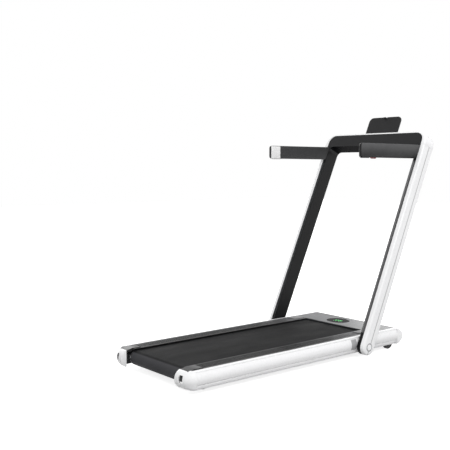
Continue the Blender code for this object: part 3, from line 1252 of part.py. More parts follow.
def build_pivot_parts(frame):
    """Pivot bolts through both uprights, and the sprung lock buttons outside them."""
    for side in (1, -1):
        form = rod((0, 0), PIVOT_BOLT_RADIUS,
                   side * (BEAM_OUTER + PIVOT_BOLT_INSET), side * (TUBE_OUTER - TUBE_FIT),
                   segments=24)
        add_part("pivot_bolt_" + side_name(side), form, STEEL, frame)
        inner = TUBE_OUTER + LOCK_BUTTON_TRAVEL
        face = SHELL_OUTER + LOCK_BUTTON_PROUD
        profile = [
            (0, inner), (LOCK_BUTTON_RADIUS, inner), (LOCK_BUTTON_RADIUS, face - LOCK_BUTTON_CHAMFER),
            (LOCK_BUTTON_RADIUS - LOCK_BUTTON_CHAMFER, face), (0, face),
        ]
        form = turned_along_y([(radius, side * y) for radius, y in profile], 28, False)
        add_part("lock_button_" + side_name(side), form, WHITE_GLOSS, frame)


def build_arm(side, frame):
    """Flat handrail arm on its hinge; folded, it lies inside the upright's channel."""
    hinge = add_empty("arm_hinge_" + side_name(side), frame, (ARM_HINGE_N, 0, ARM_HINGE_U), -TILT)
    rear_face = (-FRAME_HALF - ARM_HINGE_N) / math.cos(TILT) + ARM_TOP * math.tan(TILT)
    radius = ARM_ROOT_RADIUS
    start = 90 - FRAME_TILT
    end = math.degrees(math.asin(ARM_BOTTOM / radius))
    outline = rounded([
        (-ARM_REACH, ARM_BOTTOM, ARM_TIP_CORNER), (-ARM_REACH, ARM_TOP, ARM_TIP_CORNER),
        (rear_face, ARM_TOP, 0),
    ], steps=5)
    outline = outline + arc((0, 0), radius, start, end, 8)
    form = extrude([outline], "y", side * ARM_INNER, side * ARM_OUTER)

    def long_edges(a, b):
        return near(a.y, b.y) and a.x < rear_face - OVERCUT and b.x < rear_face + EDGE_INSET

    form = round_edges(form, long_edges, ARM_ROUNDING, 2)
    recess = block((-ARM_REACH - OVERCUT, -ARM_REACH + GRILLE_LENGTH),
                   (side * (ARM_INNER - OVERCUT), side * (ARM_INNER + GRILLE_THICKNESS)),
                   (ARM_BOTTOM - OVERCUT, ARM_TOP + OVERCUT))
    form = cut(form, recess)
    bore = rod((0, 0), ARM_PIN_RADIUS + GAP, side * (ARM_INNER - OVERCUT), side * (ARM_OUTER + OVERCUT),
               segments=20)
    add_part("arm_" + side_name(side), cut(form, bore), BLACK_SATIN, hinge)
    seam_x = -ARM_REACH + GRILLE_LENGTH - GAP
    plate = rounded([
        (-ARM_REACH, ARM_BOTTOM, ARM_TIP_CORNER), (-ARM_REACH, ARM_TOP, ARM_TIP_CORNER),
        (seam_x, ARM_TOP, 0), (seam_x, ARM_BOTTOM, 0),
    ], steps=5)
    form = extrude([plate], "y", side * ARM_INNER, side * (ARM_INNER + GRILLE_THICKNESS - GAP))

    def face_rim(a, b):
        on_face = near(abs(a.y), ARM_INNER) and near(abs(b.y), ARM_INNER)
        return on_face and not (near(a.x, seam_x) and near(b.x, seam_x))

    form = round_edges(form, face_rim, GRILLE_ROUNDING, 2)
    add_part("speaker_grille_" + side_name(side), form, WHITE_GLOSS, hinge)


def build_arm_pins(frame):
    """Pins on which the arms turn, between the channel's wall and the upright tube."""
    for side in (1, -1):
        form = rod((ARM_HINGE_N, ARM_HINGE_U), ARM_PIN_RADIUS, side * (UPRIGHT_INNER + CHANNEL_WALL + GAP),
                   side * (TUBE_INNER - GAP), segments=18)
        add_part("arm_pin_" + side_name(side), form, STEEL, frame)


def build_tablet_rest(frame):
    """Plate plugged into the crossbar's top by a tongue, with a sprung clip in its top edge."""
    low = FRAME_TOP + GAP
    tongue = FRAME_TOP - REST_TONGUE_LENGTH
    notch = REST_NOTCH_HALF_WIDTH
    notch_floor = REST_TOP - REST_NOTCH_DEPTH
    outline = rounded([
        (-REST_TONGUE_HALF_WIDTH, tongue, REST_TONGUE_CORNER),
        (REST_TONGUE_HALF_WIDTH, tongue, REST_TONGUE_CORNER),
        (REST_TONGUE_HALF_WIDTH, low, 0), (REST_HALF_WIDTH, low, 0), (REST_HALF_WIDTH, REST_TOP, REST_CORNER),
        (notch, REST_TOP, REST_NOTCH_CORNER), (notch, notch_floor, REST_NOTCH_CORNER),
        (-notch, notch_floor, REST_NOTCH_CORNER), (-notch, REST_TOP, REST_NOTCH_CORNER),
        (-REST_HALF_WIDTH, REST_TOP, REST_CORNER), (-REST_HALF_WIDTH, low, 0),
        (-REST_TONGUE_HALF_WIDTH, low, 0),
    ], steps=5)
    half = REST_THICKNESS / 2
    form = extrude([outline], "x", REST_N - half, REST_N + half)
    add_part("tablet_rest", form, BLACK_SATIN, frame)
    front = REST_N - half - CLIP_MOUTH
    hook = [
        (CLIP_BACK, CLIP_FLOOR - CLIP_STEM), (CLIP_BACK + CLIP_SHEET, CLIP_FLOOR - CLIP_STEM),
        (CLIP_BACK + CLIP_SHEET, CLIP_TOP), (front, CLIP_TOP), (front, CLIP_FLOOR - CLIP_LIP),
        (front + CLIP_SHEET, CLIP_FLOOR - CLIP_LIP), (front + CLIP_SHEET, CLIP_FLOOR), (CLIP_BACK, CLIP_FLOOR),
    ]
    form = extrude([hook], "y", -CLIP_HALF_WIDTH, CLIP_HALF_WIDTH)
    add_part("rest_clip", form, BLACK_SATIN, frame)


def build_safety_key(frame):
    """Red pull-off safety key under the front of the crossbar, near its middle."""
    top = CROSSBAR_BOTTOM - GAP
    form = block((KEY_N - KEY_HALF_DEPTH, KEY_N + KEY_HALF_DEPTH),
                 (KEY_Y - KEY_HALF_WIDTH, KEY_Y + KEY_HALF_WIDTH),
                 (top - KEY_LENGTH, top))
    form = round_edges(form, lambda a, b: min(a.z, b.z) < top - EDGE_INSET, KEY_ROUNDING, 2)
    stub = block((KEY_N - KEY_STUB_HALF_DEPTH, KEY_N + KEY_STUB_HALF_DEPTH),
                 (KEY_Y - KEY_STUB_HALF_WIDTH, KEY_Y + KEY_STUB_HALF_WIDTH),
                 (top - 2 * EDGE_INSET, top + KEY_STUB_LENGTH))
    add_part("safety_key", join(form, stub), RED_PLASTIC, frame)


def main():
    """Build the deck, then the frame on its pivot."""
    floor = add_empty("floor_origin", None, (-MIDDLE_X, 0, 0))
    for side in (1, -1):
        build_side_rail(side, floor)
        build_rear_cap(side, floor)
        build_side_beam(side, floor)
        build_foot_strip(side, floor)
    build_nose(floor)
    build_cross_members(floor)
    build_board(floor)
    build_walking_belt(floor)
    build_rollers(floor)
    build_tension_bolts(floor)
    build_corner_guards(floor)
    build_motor_cover(floor)
    build_motor_tray(floor)
    build_drive(floor)
    build_power_panel(floor)
    build_wheels(floor)
    build_feet(floor)
    frame = add_empty("frame_pivot", floor, (PIVOT_X, 0, PIVOT_Z), TILT)
    for side in (1, -1):
        build_upright(side, frame)
        build_arm(side, frame)
    build_crossbar(frame)
    build_pivot_parts(frame)
    build_arm_pins(frame)
    build_tablet_rest(frame)
    build_safety_key(frame)


main()
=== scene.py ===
"""Looks of a folding treadmill: finishes, small fittings, floor, lights and camera."""
import math

import bmesh
import bpy
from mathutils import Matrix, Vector
from mathutils.bvhtree import BVHTree


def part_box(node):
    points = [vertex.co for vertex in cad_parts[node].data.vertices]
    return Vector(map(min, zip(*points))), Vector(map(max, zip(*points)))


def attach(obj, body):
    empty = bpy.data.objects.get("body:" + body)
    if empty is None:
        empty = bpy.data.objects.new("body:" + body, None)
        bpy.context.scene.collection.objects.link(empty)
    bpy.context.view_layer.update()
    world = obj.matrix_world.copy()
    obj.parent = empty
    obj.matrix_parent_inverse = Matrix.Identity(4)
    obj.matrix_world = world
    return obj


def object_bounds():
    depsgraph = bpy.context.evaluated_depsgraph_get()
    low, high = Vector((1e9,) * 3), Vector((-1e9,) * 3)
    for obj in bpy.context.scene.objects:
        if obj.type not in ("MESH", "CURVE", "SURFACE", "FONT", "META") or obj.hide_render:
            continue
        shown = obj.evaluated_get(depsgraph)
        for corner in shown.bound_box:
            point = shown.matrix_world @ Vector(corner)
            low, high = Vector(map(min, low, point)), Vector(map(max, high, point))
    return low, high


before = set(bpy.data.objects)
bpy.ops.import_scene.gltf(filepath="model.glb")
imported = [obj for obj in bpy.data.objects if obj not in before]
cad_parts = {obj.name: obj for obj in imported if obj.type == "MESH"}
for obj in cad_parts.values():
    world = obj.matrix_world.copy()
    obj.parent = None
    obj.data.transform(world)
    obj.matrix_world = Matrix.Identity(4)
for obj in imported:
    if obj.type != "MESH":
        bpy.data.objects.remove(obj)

bl_info = {
    "name": "Folding treadmill looks",
    "version": (1, 0, 0),
    "blender": (4, 5, 0),
    "location": "3D View > Sidebar > Treadmill",
    "description": "Finishes, small fittings and studio for a folding treadmill",
    "category": "Object",
}

# Fixed values, in metres unless a comment says otherwise

MM = 0.001
CAD_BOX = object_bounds()
SIDES = {"left": 1, "right": -1}           # sign of y on each side
FRONT, LEFT, UP = Vector((1, 0, 0)), Vector((0, 1, 0)), Vector((0, 0, 1))
FRAME_TILT = math.radians(24.7)            # lean of the uprights
ACROSS = Vector((math.cos(FRAME_TILT), 0, -math.sin(FRAME_TILT)))   # across an upright, seen from the side

SHARP_EDGE = math.radians(35)              # edges sharper than this are rounded
FLAT_ANGLE = math.radians(0.2)             # faces nearer to one plane than this are joined
WELD_DISTANCE = 0.01 * MM
FACING = 0.9                               # share of its normal from which a face looks along an axis
UNDERSIDE = -0.6                           # the same for faces that look down
EDGE_HIGHLIGHT_DEPTH = 3 * MM                        # width of the painted highlight on a channel's rear edge
# Black of the painted shade in the arm bays, and of the real rim round the pierced plates
BAY_SHADE_AND_RIM_BLACK = "#1A1A1B"
NOISE_MIDDLE = {"From Min": 0.3, "From Max": 0.7}   # where most values of a noise lie

PATCH_BEHIND_PIVOT = 33 * MM
PATCH_ABOVE_RAIL_FOOT = 21 * MM
PATCH_BELOW_RAIL_TOP = 9 * MM
PATCH_ROWS = 14
PATCH_STEPS = 6                            # columns of faces in one rib
PATCH_ROOT = 0.4 * MM                      # depth of its rim in the rail
PATCH_SKIN = 0.5 * MM                      # height between the ribs
RIB_HEIGHT = 0.9 * MM
RAY_START = 0.4                            # well outside the rails

RING_GAP = 0.3 * MM                        # clear of the button
RING_ROOT = 1 * MM                         # depth in the shell
RING_SHOULDER = 1 * MM                     # heights over the shell
RING_CROWN = 1.6 * MM
RING_RIM = 0.1 * MM
RING_STEPS = 40

# The clock on the display; places and sizes are shares of a figure's height
SEGMENTS = {"0": "abcdef", "1": "bc", "2": "abged", "5": "afgcd"}
CLOCK = ((0, "1"), (0.72, "2"), (1.62, "0"), (2.34, "5"))
CLOCK_START = 1.35                         # from its left end to the middle
COLON_PLACE, COLON_RISES = 1.42, (0.3, 0.7)
MARK_PLACES, MARK_DROP = (0.4, 1.4, 2.4), 0.55
MARK_CORNERS = ((-0.22, -0.05), (0.22, -0.05), (0.22, 0.05), (-0.22, 0.05))
BAR_HALF = 0.07                            # half the width of a bar
FIGURE_LIFT = 0.05 * MM
FIGURE_THICKNESS = 0.25 * MM

# Half section of a pan head screw as (radius, height), in radii of its head
SCREW_PROFILE = ((0, -0.4), (0.9, -0.4), (1, 0), (0.96, 0.3), (0.75, 0.52), (0.45, 0.62), (0.3, 0.4),
                 (0, 0.3))
SCREW_STEPS = 20
SCREW_END_INSET, SCREW_SIDE_INSET = 14 * MM, 16 * MM
INLET_DEPTH, INLET_Y = 12 * MM, -0.1755    # floor of the mains inlet behind the panel's face, and its middle
PIN_PLACES = ((0, 4 * MM), (-7 * MM, -2 * MM), (7 * MM, -2 * MM))
PIN_CORNERS = ((-1 * MM, -2 * MM), (1 * MM, -2 * MM), (1 * MM, 2 * MM), (-1 * MM, 2 * MM))
PIN_ROOT, PIN_LENGTH, PIN_EDGE = 0.2 * MM, 9 * MM, 0.3 * MM

FLOOR_HALF = 14
FLOOR_GAP = 0.2 * MM
FLOOR_GLOW = 0.8
SOFT_LIGHT_FROM = (-0.45, -0.55, 0.70)     # way to the brightest part of the sky
SKY_DIM, SKY_BRIGHT = 0.1, 1.05
LAMPS = (                                  # name, place, point it faces, diameter, power in watts
    ("Key", (-1.6, -3.4, 3.2), (0.1, 0, 0.3), 2.2, 88),
    ("Top", (0.3, 0.4, 4.0), (0.1, 0, 0.2), 3.0, 8),
    ("Fill", (3.4, -1.6, 1.2), (0.2, 0, 0.4), 3.0, 18),
    ("Far side", (0.3, 4.2, 1.0), (0.1, 0, 0.4), 3.0, 70),
    ("Sheen", (3.9, 2.1, 1.1), (0.4, -0.1, 0.1), 1.3, 9),
)
CAMERA_PLACE = (-2.57007, -2.6767, 0.9382)
CAMERA_TURN = (math.radians(85.618), 0, math.radians(-39.506))
CAMERA_LENS, CAMERA_SENSOR = 59.98, 36     # millimetres
CAMERA_REACH = 100


def both(name):
    return [f"{name}_left", f"{name}_right"]


def linear(code):
    """Linear colour of an sRGB hex code."""
    channels = [int(code[i:i + 2], 16) / 255 for i in (1, 3, 5)]
    return tuple(c / 12.92 if c <= 0.04045 else ((c + 0.055) / 1.055) ** 2.4 for c in channels) + (1.0,)


def darker(base, share):
    """A linear colour times a share; a share over 1 makes it lighter."""
    return tuple(c * share for c in base[:3]) + (1.0,)


def middle(node):
    """Centre of a node's box."""
    low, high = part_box(node)
    return (low + high) / 2


# Colours and sizes that a user would change

def colour(name, code, words):
    return bpy.props.FloatVectorProperty(
        name=name, description=words, subtype="COLOR", size=4, min=0, max=1, default=linear(code))


def length(name, millimetres, words):
    return bpy.props.FloatProperty(
        name=name, description=words, subtype="DISTANCE", unit="LENGTH", min=0, default=millimetres * MM)


class TreadmillColours(bpy.types.PropertyGroup):
    shell: colour("Shell", "#F1F1F2", "White moulded shells of the rails and uprights")
    channel: colour("Channel", "#151516", "Powder coated inner channels of the uprights")
    housing: colour("Housing", "#252526", "Moulded crossbar housing and tablet rest")
    arm: colour("Arm body", "#1F1F20", "Moulded shell of the arms")
    grip: colour("Arm grip", "#454546", "Soft touch pad on the outside of the arms")
    cover: colour("Motor cover", "#66676A", "Brushed motor cover")
    strip: colour("Foot strip", "#383839", "Ribbed strips beside the belt")
    guard: colour("Corner guard", "#353536", "Guards at the rear corners")
    belt: colour("Belt", "#131314", "Walking belt")
    key: colour("Safety key", "#8E1D1A", "Pull-off safety key")
    digits: colour("Digits", "#5FE07A", "Lit figures of the display")


class TreadmillSizes(bpy.types.PropertyGroup):
    shell_edge: length("Shell edge", 1.2, "Edge rounding of the moulded white shells")
    metal_edge: length("Metal edge", 0.5, "Edge rounding of folded and cut metal")
    plastic_edge: length("Plastic edge", 0.7, "Edge rounding of the dark mouldings")
    patch_length: length("Grip patch", 38, "Length of the ribbed patch behind each pivot")
    patch_pitch: length("Patch rib pitch", 7, "Distance from one rib of the patch to the next")
    ring_width: length("Button ring", 5.5, "Width of the ring round each pivot button")
    digit_height: length("Digit height", 17, "Height of the display's figures")
    screw_head: length("Screw head", 7, "Diameter of the pan head screws")


def colours():
    return bpy.context.scene.treadmill_colours


def sizes():
    return bpy.context.scene.treadmill_sizes


# Node trees

def add_node(tree, kind, settings=None, links=None):
    """A shader node with its settings and its incoming links."""
    made = tree.nodes.new(kind)
    for name, value in (settings or {}).items():
        if isinstance(name, int) or name in made.inputs:
            made.inputs[name].default_value = value
        else:
            setattr(made, name, value)
    for name, socket in (links or {}).items():
        tree.links.new(socket, made.inputs[name])
    return made


def open_material(made):
    """A material's tree, its Principled shader, and the socket of its place in metres."""
    tree = made.node_tree
    return tree, tree.nodes["Principled BSDF"], add_node(tree, "ShaderNodeTexCoord").outputs["Object"]


def start_material(name, base, settings):
    """A material with its uniform values, and the tree, shader and place socket that its detail hangs on."""
    made = bpy.data.materials.new(name)
    made.use_nodes = True
    tree, shader, place = open_material(made)
    shader.inputs["Base Color"].default_value = base
    for socket, value in settings.items():
        shader.inputs[socket].default_value = value
    return made, tree, shader, place


def grain(tree, place, millimetres, stretch=(1, 1, 1), detail=3.0):
    """Noise whose features are about so many millimetres wide; stretch makes them longer along an axis."""
    scaled = add_node(tree, "ShaderNodeMapping",
                      {"Scale": tuple(1 / s for s in stretch)}, {"Vector": place})
    return add_node(tree, "ShaderNodeTexNoise",
                    {"Scale": 1 / (millimetres * MM), "Detail": detail, "Roughness": 0.55},
                    {"Vector": scaled.outputs["Vector"]}).outputs["Fac"]


def roughen(tree, shader, noise, low, high):
    """Lets the roughness run from low to high with a noise."""
    level = add_node(tree, "ShaderNodeMapRange", {**NOISE_MIDDLE, "To Min": low, "To Max": high},
                     {"Value": noise})
    tree.links.new(level.outputs["Result"], shader.inputs["Roughness"])


def tint(tree, socket, factor, other):
    """Blends the colour that a socket has so far toward another, by a factor."""
    settings, links = {"data_type": "RGBA", 7: other}, {0: factor}
    if socket.links:
        links[6] = socket.links[0].from_socket
    else:
        settings[6] = tuple(socket.default_value)
    tree.links.new(add_node(tree, "ShaderNodeMix", settings, links).outputs[2], socket)


def mottle(tree, shader, noise, other, most=1.0, socket="Base Color"):
    """Tints a colour toward another in patches of a noise, by so much at most."""
    share = add_node(tree, "ShaderNodeMapRange", {**NOISE_MIDDLE, "To Max": most}, {"Value": noise})
    tint(tree, shader.inputs[socket], share.outputs["Result"], other)


def background_rays(tree):
    """Share of a ray that sees the white backdrop: one for a ray of the camera, a reflection or a glass."""
    rays = add_node(tree, "ShaderNodeLightPath")
    seen = rays.outputs["Is Camera Ray"]
    for kind in ("Is Glossy Ray", "Is Transmission Ray"):
        seen = add_node(tree, "ShaderNodeMath", {"operation": "ADD", "use_clamp": True},
                        {0: seen, 1: rays.outputs[kind]}).outputs[0]
    return seen


def raise_surface(tree, shader, height, millimetres):
    """Bump of so many millimetres from a height that runs from 0 to 1, on top of any earlier one."""
    links = {"Height": height}
    if shader.inputs["Normal"].links:
        links["Normal"] = shader.inputs["Normal"].links[0].from_socket
    bump = add_node(tree, "ShaderNodeBump", {"Distance": millimetres * MM, "Strength": 1.0}, links)
    tree.links.new(bump.outputs["Normal"], shader.inputs["Normal"])


def offset_along(tree, place, centre, axis):
    """Distance in metres from a centre, measured along an axis."""
    reach = add_node(tree, "ShaderNodeVectorMath", {"operation": "DOT_PRODUCT", 1: tuple(axis)},
                     {0: place}).outputs["Value"]
    return add_node(tree, "ShaderNodeMath", {"operation": "SUBTRACT", 1: axis.dot(centre)},
                    {0: reach}).outputs[0]


def crown(made, centre, axis, half_width, sag):
    """Rounds a flat finish over its width along an axis, falling by sag metres at the half width."""
    tree, shader, place = open_material(made)
    offset = offset_along(tree, place, centre, axis)
    square = add_node(tree, "ShaderNodeMath", {"operation": "MULTIPLY"}, {0: offset, 1: offset}).outputs[0]
    fall = add_node(tree, "ShaderNodeMath", {"operation": "MULTIPLY", 1: -1 / half_width ** 2},
                    {0: square}).outputs[0]
    raise_surface(tree, shader, fall, sag / MM)


def painted_light_ramp(made, centre, axis, half_width, low_share, high_share):
    """Paints light and shade into a finish: its colour runs from one tone to another along an axis, over a
    half width each side of a centre.
    """
    tree, shader, place = open_material(made)
    share = add_node(tree, "ShaderNodeMapRange",
                     {"From Min": -half_width, "From Max": half_width,
                      "To Min": low_share, "To Max": high_share},
                     {"Value": offset_along(tree, place, centre, axis)}).outputs["Result"]
    socket = shader.inputs["Base Color"]
    shaded = add_node(tree, "ShaderNodeMix", {"data_type": "RGBA", "blend_type": "MULTIPLY", 0: 1.0},
                      {6: socket.links[0].from_socket, 7: share})
    tree.links.new(shaded.outputs[2], socket)


def rim_band(made, low, high, width, tone):
    """Dark band round a flat plate: tone within a width of the plate's ends in x and z."""
    tree, shader, place = open_material(made)
    bands = []
    for axis in (FRONT, UP):
        half = axis.dot(high - low) / 2
        reach = add_node(tree, "ShaderNodeMath", {"operation": "ABSOLUTE"},
                         {0: offset_along(tree, place, (low + high) / 2, axis)}).outputs[0]
        bands.append(add_node(tree, "ShaderNodeMapRange",
                              {"From Min": half - width, "From Max": half - 0.7 * width},
                              {"Value": reach}).outputs["Result"])
    mask = add_node(tree, "ShaderNodeMath", {"operation": "MAXIMUM"}, {0: bands[0], 1: bands[1]}).outputs[0]
    tint(tree, shader.inputs["Base Color"], mask, tone)


def shadow_line(made, centre, width, share):
    """Moulds a soft line along the uprights into a finish: a shallow bumped groove whose colour is darkened
    with painted shade.
    """
    tree, shader, place = open_material(made)
    reach = add_node(tree, "ShaderNodeMath", {"operation": "ABSOLUTE"},
                     {0: offset_along(tree, place, centre, ACROSS)}).outputs[0]
    mask = add_node(tree, "ShaderNodeMapRange",
                    {"interpolation_type": "SMOOTHSTEP", "From Max": width, "To Min": 1.0, "To Max": 0.0},
                    {"Value": reach}).outputs["Result"]
    socket = shader.inputs["Base Color"]
    # Painted shade: the colour is darkened along the groove.
    tint(tree, socket, mask, darker(tuple(socket.default_value), share))
    raise_surface(tree, shader, mask, -0.8)


# Finishes

def moulded_gloss_abs(name, base, roughness):
    """Injection moulded ABS with a polished tool face: clear highlights with a faint waviness from cooling,
    and a soft dullness where hands and shoes have rubbed it."""
    made, tree, shader, place = start_material(
        name, base, {"IOR": 1.54, "Specular IOR Level": 0.3, "Coat Weight": 0.06, "Coat Roughness": 0.08})
    sink = grain(tree, place, 45)
    rub = grain(tree, place, 9, detail=6)
    roughen(tree, shader, rub, roughness - 0.05, roughness + 0.07)
    mottle(tree, shader, sink, darker(base, 0.985))
    raise_surface(tree, shader, sink, 0.08)
    return made


def spark_textured_abs(name, base, roughness, grain_mm=1.1, gloss=0.14):
    """ABS from a spark eroded tool: an even fine grain whose pits swallow most of the highlights. The real
    grain is about 0.1 mm; it is drawn about ten times coarser so that it shows."""
    made, tree, shader, place = start_material(name, base, {"IOR": 1.54, "Specular IOR Level": gloss})
    fine = grain(tree, place, grain_mm, detail=4)
    broad = grain(tree, place, 60)
    roughen(tree, shader, fine, roughness - 0.07, roughness + 0.08)
    mottle(tree, shader, broad, darker(base, 0.86))
    raise_surface(tree, shader, fine, 0.05)
    return made


def powder_coat(name, base, roughness):
    """Baked powder coat on steel: an orange peel of about 2 mm and a slightly open gloss."""
    made, tree, shader, place = start_material(name, base, {"IOR": 1.52, "Specular IOR Level": 0.1})
    peel = grain(tree, place, 2.2, detail=1)
    broad = grain(tree, place, 80)
    roughen(tree, shader, peel, roughness - 0.06, roughness + 0.06)
    mottle(tree, shader, broad, darker(base, 0.85))
    raise_surface(tree, shader, peel, 0.08)
    return made


def brushed_aluminium(name, base, roughness, stretch):
    """Aluminium brushed along one way under clear lacquer: soft streaks in its shine. They are about 0.3 mm
    wide, drawn at 3 mm to show."""
    made, tree, shader, place = start_material(
        name, base, {"Metallic": 0.55, "Coat Weight": 0.2, "Coat Roughness": 0.2})
    streak = grain(tree, place, 3.0, stretch=stretch, detail=5)
    broad = grain(tree, place, 40, stretch=stretch)
    roughen(tree, shader, streak, roughness - 0.08, roughness + 0.1)
    mottle(tree, shader, streak, darker(base, 0.8))
    mottle(tree, shader, broad, darker(base, 0.72), most=0.6)
    raise_surface(tree, shader, streak, 0.04)
    return made


def turned_steel(name, base, roughness):
    """Ground and turned steel: bright, with fine rings round the axis and a few dull spots of oil."""
    made, tree, shader, place = start_material(name, base, {"Metallic": 1.0})
    rings = grain(tree, place, 1.5, stretch=(1, 0.3, 1), detail=4)
    oil = grain(tree, place, 14)
    roughen(tree, shader, oil, roughness - 0.08, roughness + 0.12)
    mottle(tree, shader, oil, darker(base, 0.75))
    raise_surface(tree, shader, rings, 0.03)
    return made


def moulded_rubber(name, base, roughness):
    """Matt moulded rubber: no clear highlight, a dusty bloom in patches and a pebbled skin."""
    made, tree, shader, place = start_material(
        name, base, {"IOR": 1.5, "Sheen Weight": 0.15, "Sheen Roughness": 0.6})
    skin = grain(tree, place, 1.4)
    bloom = grain(tree, place, 18, detail=5)
    roughen(tree, shader, bloom, roughness - 0.08, min(1, roughness + 0.08))
    mottle(tree, shader, bloom, darker(base, 1.35))
    raise_surface(tree, shader, skin, 0.12)
    return made


def belt_fabric(name, base):
    """PVC faced belt with a pressed diamond lattice. The lattice of the real belt is about 1.5 mm; it is
    drawn at about 10 mm so that it shows. Shoes polish the middle a little, and a painted reflection
    makes it paler where it turns round the rear roller."""
    made, tree, shader, place = start_material(name, base, {"IOR": 1.5, "Specular IOR Level": 0.09})
    turned = add_node(tree, "ShaderNodeMapping", {"Rotation": (0, 0, math.radians(45))}, {"Vector": place})
    pitch, own_pitch = 9.8646 * MM, math.pi / 10      # own_pitch is a wave's pitch at a scale of 1
    waves = []
    for direction in ("X", "Y"):
        waves.append(add_node(tree, "ShaderNodeTexWave",
                              {"bands_direction": direction, "Scale": own_pitch / pitch, "Distortion": 0.0},
                              {"Vector": turned.outputs["Vector"]}).outputs["Fac"])
    lattice = add_node(tree, "ShaderNodeMath", {"operation": "MAXIMUM"},
                       {0: waves[0], 1: waves[1]}).outputs[0]
    wear = grain(tree, place, 120, stretch=(2.5, 1, 1), detail=5)
    roughen(tree, shader, wear, 0.62, 0.78)
    mottle(tree, shader, wear, darker(base, 1.22))
    facing = add_node(tree, "ShaderNodeSeparateXYZ",
                      links={0: add_node(tree, "ShaderNodeTexCoord").outputs["Normal"]}).outputs["X"]
    # Painted reflection: faces that look rearward, round the rear roller, are made much paler.
    rear_face_reflection = add_node(tree, "ShaderNodeMapRange", {"From Min": -0.45, "From Max": -0.65},
                    {"Value": facing}).outputs["Result"]
    tint(tree, shader.inputs["Base Color"], rear_face_reflection, darker(base, 8.0))
    raise_surface(tree, shader, lattice, 0.25)
    return made


def pressed_board(name, base):
    """Wax-filmed MDF deck board: fine fibres along its length under a dull film."""
    made, tree, shader, place = start_material(name, base, {"IOR": 1.5})
    fibre = grain(tree, place, 2.0, stretch=(8, 1, 1), detail=5)
    roughen(tree, shader, fibre, 0.5, 0.7)
    mottle(tree, shader, fibre, darker(base, 0.8))
    raise_surface(tree, shader, fibre, 0.05)
    return made


def perforated_sheet(name, base, hole):
    """Pierced loudspeaker sheet: round holes on a 3 mm grid, dark inside."""
    made, tree, shader, place = start_material(name, base, {"IOR": 1.5})
    dots = add_node(tree, "ShaderNodeTexVoronoi", {"Scale": 1 / (3.0 * MM), "Randomness": 0.0},
                    {"Vector": place})
    pierced = add_node(tree, "ShaderNodeMapRange",
                       {"From Min": 0.24, "From Max": 0.32, "To Min": 1.0, "To Max": 0.0},
                       {"Value": dots.outputs["Distance"]}).outputs["Result"]
    roughen(tree, shader, grain(tree, place, 8), 0.35, 0.5)
    tint(tree, shader.inputs["Base Color"], pierced, hole)
    raise_surface(tree, shader, pierced, -0.3)
    return made


def smoked_glass(name, base):
    """Black backed acrylic lens: a hard clear gloss with the faintest smears. Its shine is held low, because
    the white backdrop would hide the figures."""
    made, tree, shader, place = start_material(name, base, {"IOR": 1.49, "Specular IOR Level": 0.006})
    smear = grain(tree, place, 16, stretch=(1, 2, 1), detail=6)
    roughen(tree, shader, smear, 0.05, 0.14)
    mottle(tree, shader, smear, darker(base, 1.4))
    raise_surface(tree, shader, smear, 0.02)
    return made


def lit_segment(name, base):
    """LED figure behind the lens: even light with a slight falloff in each bar."""
    made, tree, shader, place = start_material(
        name, darker(base, 0.4), {"Emission Color": base, "Emission Strength": 1.0})
    glow = grain(tree, place, 6)
    mottle(tree, shader, glow, darker(base, 0.75), socket="Emission Color")
    roughen(tree, shader, glow, 0.35, 0.5)
    return made


def circuit_laminate(name, base, copper):
    """Solder masked laminate: tinned tracks show as paler bands through the green."""
    made, tree, shader, place = start_material(
        name, base, {"IOR": 1.55, "Coat Weight": 0.3, "Coat Roughness": 0.15})
    tracks = add_node(tree, "ShaderNodeTexBrick",
                      {"Scale": 1 / (12 * MM), "Mortar Size": 0.06, "Mortar": copper,
                       "Color1": base, "Color2": darker(base, 0.8)}, {"Vector": place})
    roughen(tree, shader, grain(tree, place, 5), 0.3, 0.45)
    tree.links.new(tracks.outputs["Color"], shader.inputs["Base Color"])
    raise_surface(tree, shader, tracks.outputs["Fac"], 0.05)
    return made


# Mesh helpers

def round_edges(thing, width):
    """Small rounded edges that leave the flat faces flat."""
    edge = thing.modifiers.new("edges", "BEVEL")
    edge.width = width
    edge.segments = 2
    edge.limit_method = "ANGLE"
    edge.angle_limit = SHARP_EDGE
    edge.harden_normals = True


def dress(names, finish, edge):
    """Gives CAD nodes a finish and small rounded edges."""
    for name in names:
        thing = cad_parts[name]
        mesh = thing.data
        for attribute in ("custom_normal", "sharp_edge", "sharp_face"):
            if attribute in mesh.attributes:
                mesh.attributes.remove(mesh.attributes[attribute])
        mesh.shade_smooth()
        mesh.materials.clear()
        mesh.materials.append(finish)
        weld = thing.modifiers.new("weld", "WELD")
        weld.merge_threshold = WELD_DISTANCE
        flat = thing.modifiers.new("flat faces", "DECIMATE")
        flat.decimate_type = "DISSOLVE"
        flat.angle_limit = FLAT_ANGLE
        round_edges(thing, edge)


def paint(name, finish, chosen):
    """Gives a CAD node one more finish, on the faces that chosen picks."""
    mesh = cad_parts[name].data
    mesh.materials.append(finish)
    for face in mesh.polygons:
        if chosen(face):
            face.material_index = len(mesh.materials) - 1


def add_piece(name, form, finish, body, bevel=0.0, smooth=True):
    """A new piece from a bmesh, with its finish and its body."""
    bmesh.ops.recalc_face_normals(form, faces=form.faces)
    mesh = bpy.data.meshes.new(name)
    form.to_mesh(mesh)
    form.free()
    thing = bpy.data.objects.new(name, mesh)
    bpy.context.scene.collection.objects.link(thing)
    if smooth:
        mesh.shade_smooth()
    else:
        mesh.shade_flat()
    mesh.materials.append(finish)
    if bevel:
        round_edges(thing, bevel)
    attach(thing, body)


def add_slab(form, outline, lift, thick, out):
    """Adds a flat plate: outline points pushed by lift, and by lift plus thick, along out."""
    low = [form.verts.new(p + out * lift) for p in outline]
    high = [form.verts.new(p + out * (lift + thick)) for p in outline]
    form.faces.new(low)
    form.faces.new(high)
    count = len(outline)
    for i in range(count):
        j = (i + 1) % count
        form.faces.new((low[i], low[j], high[j], high[i]))


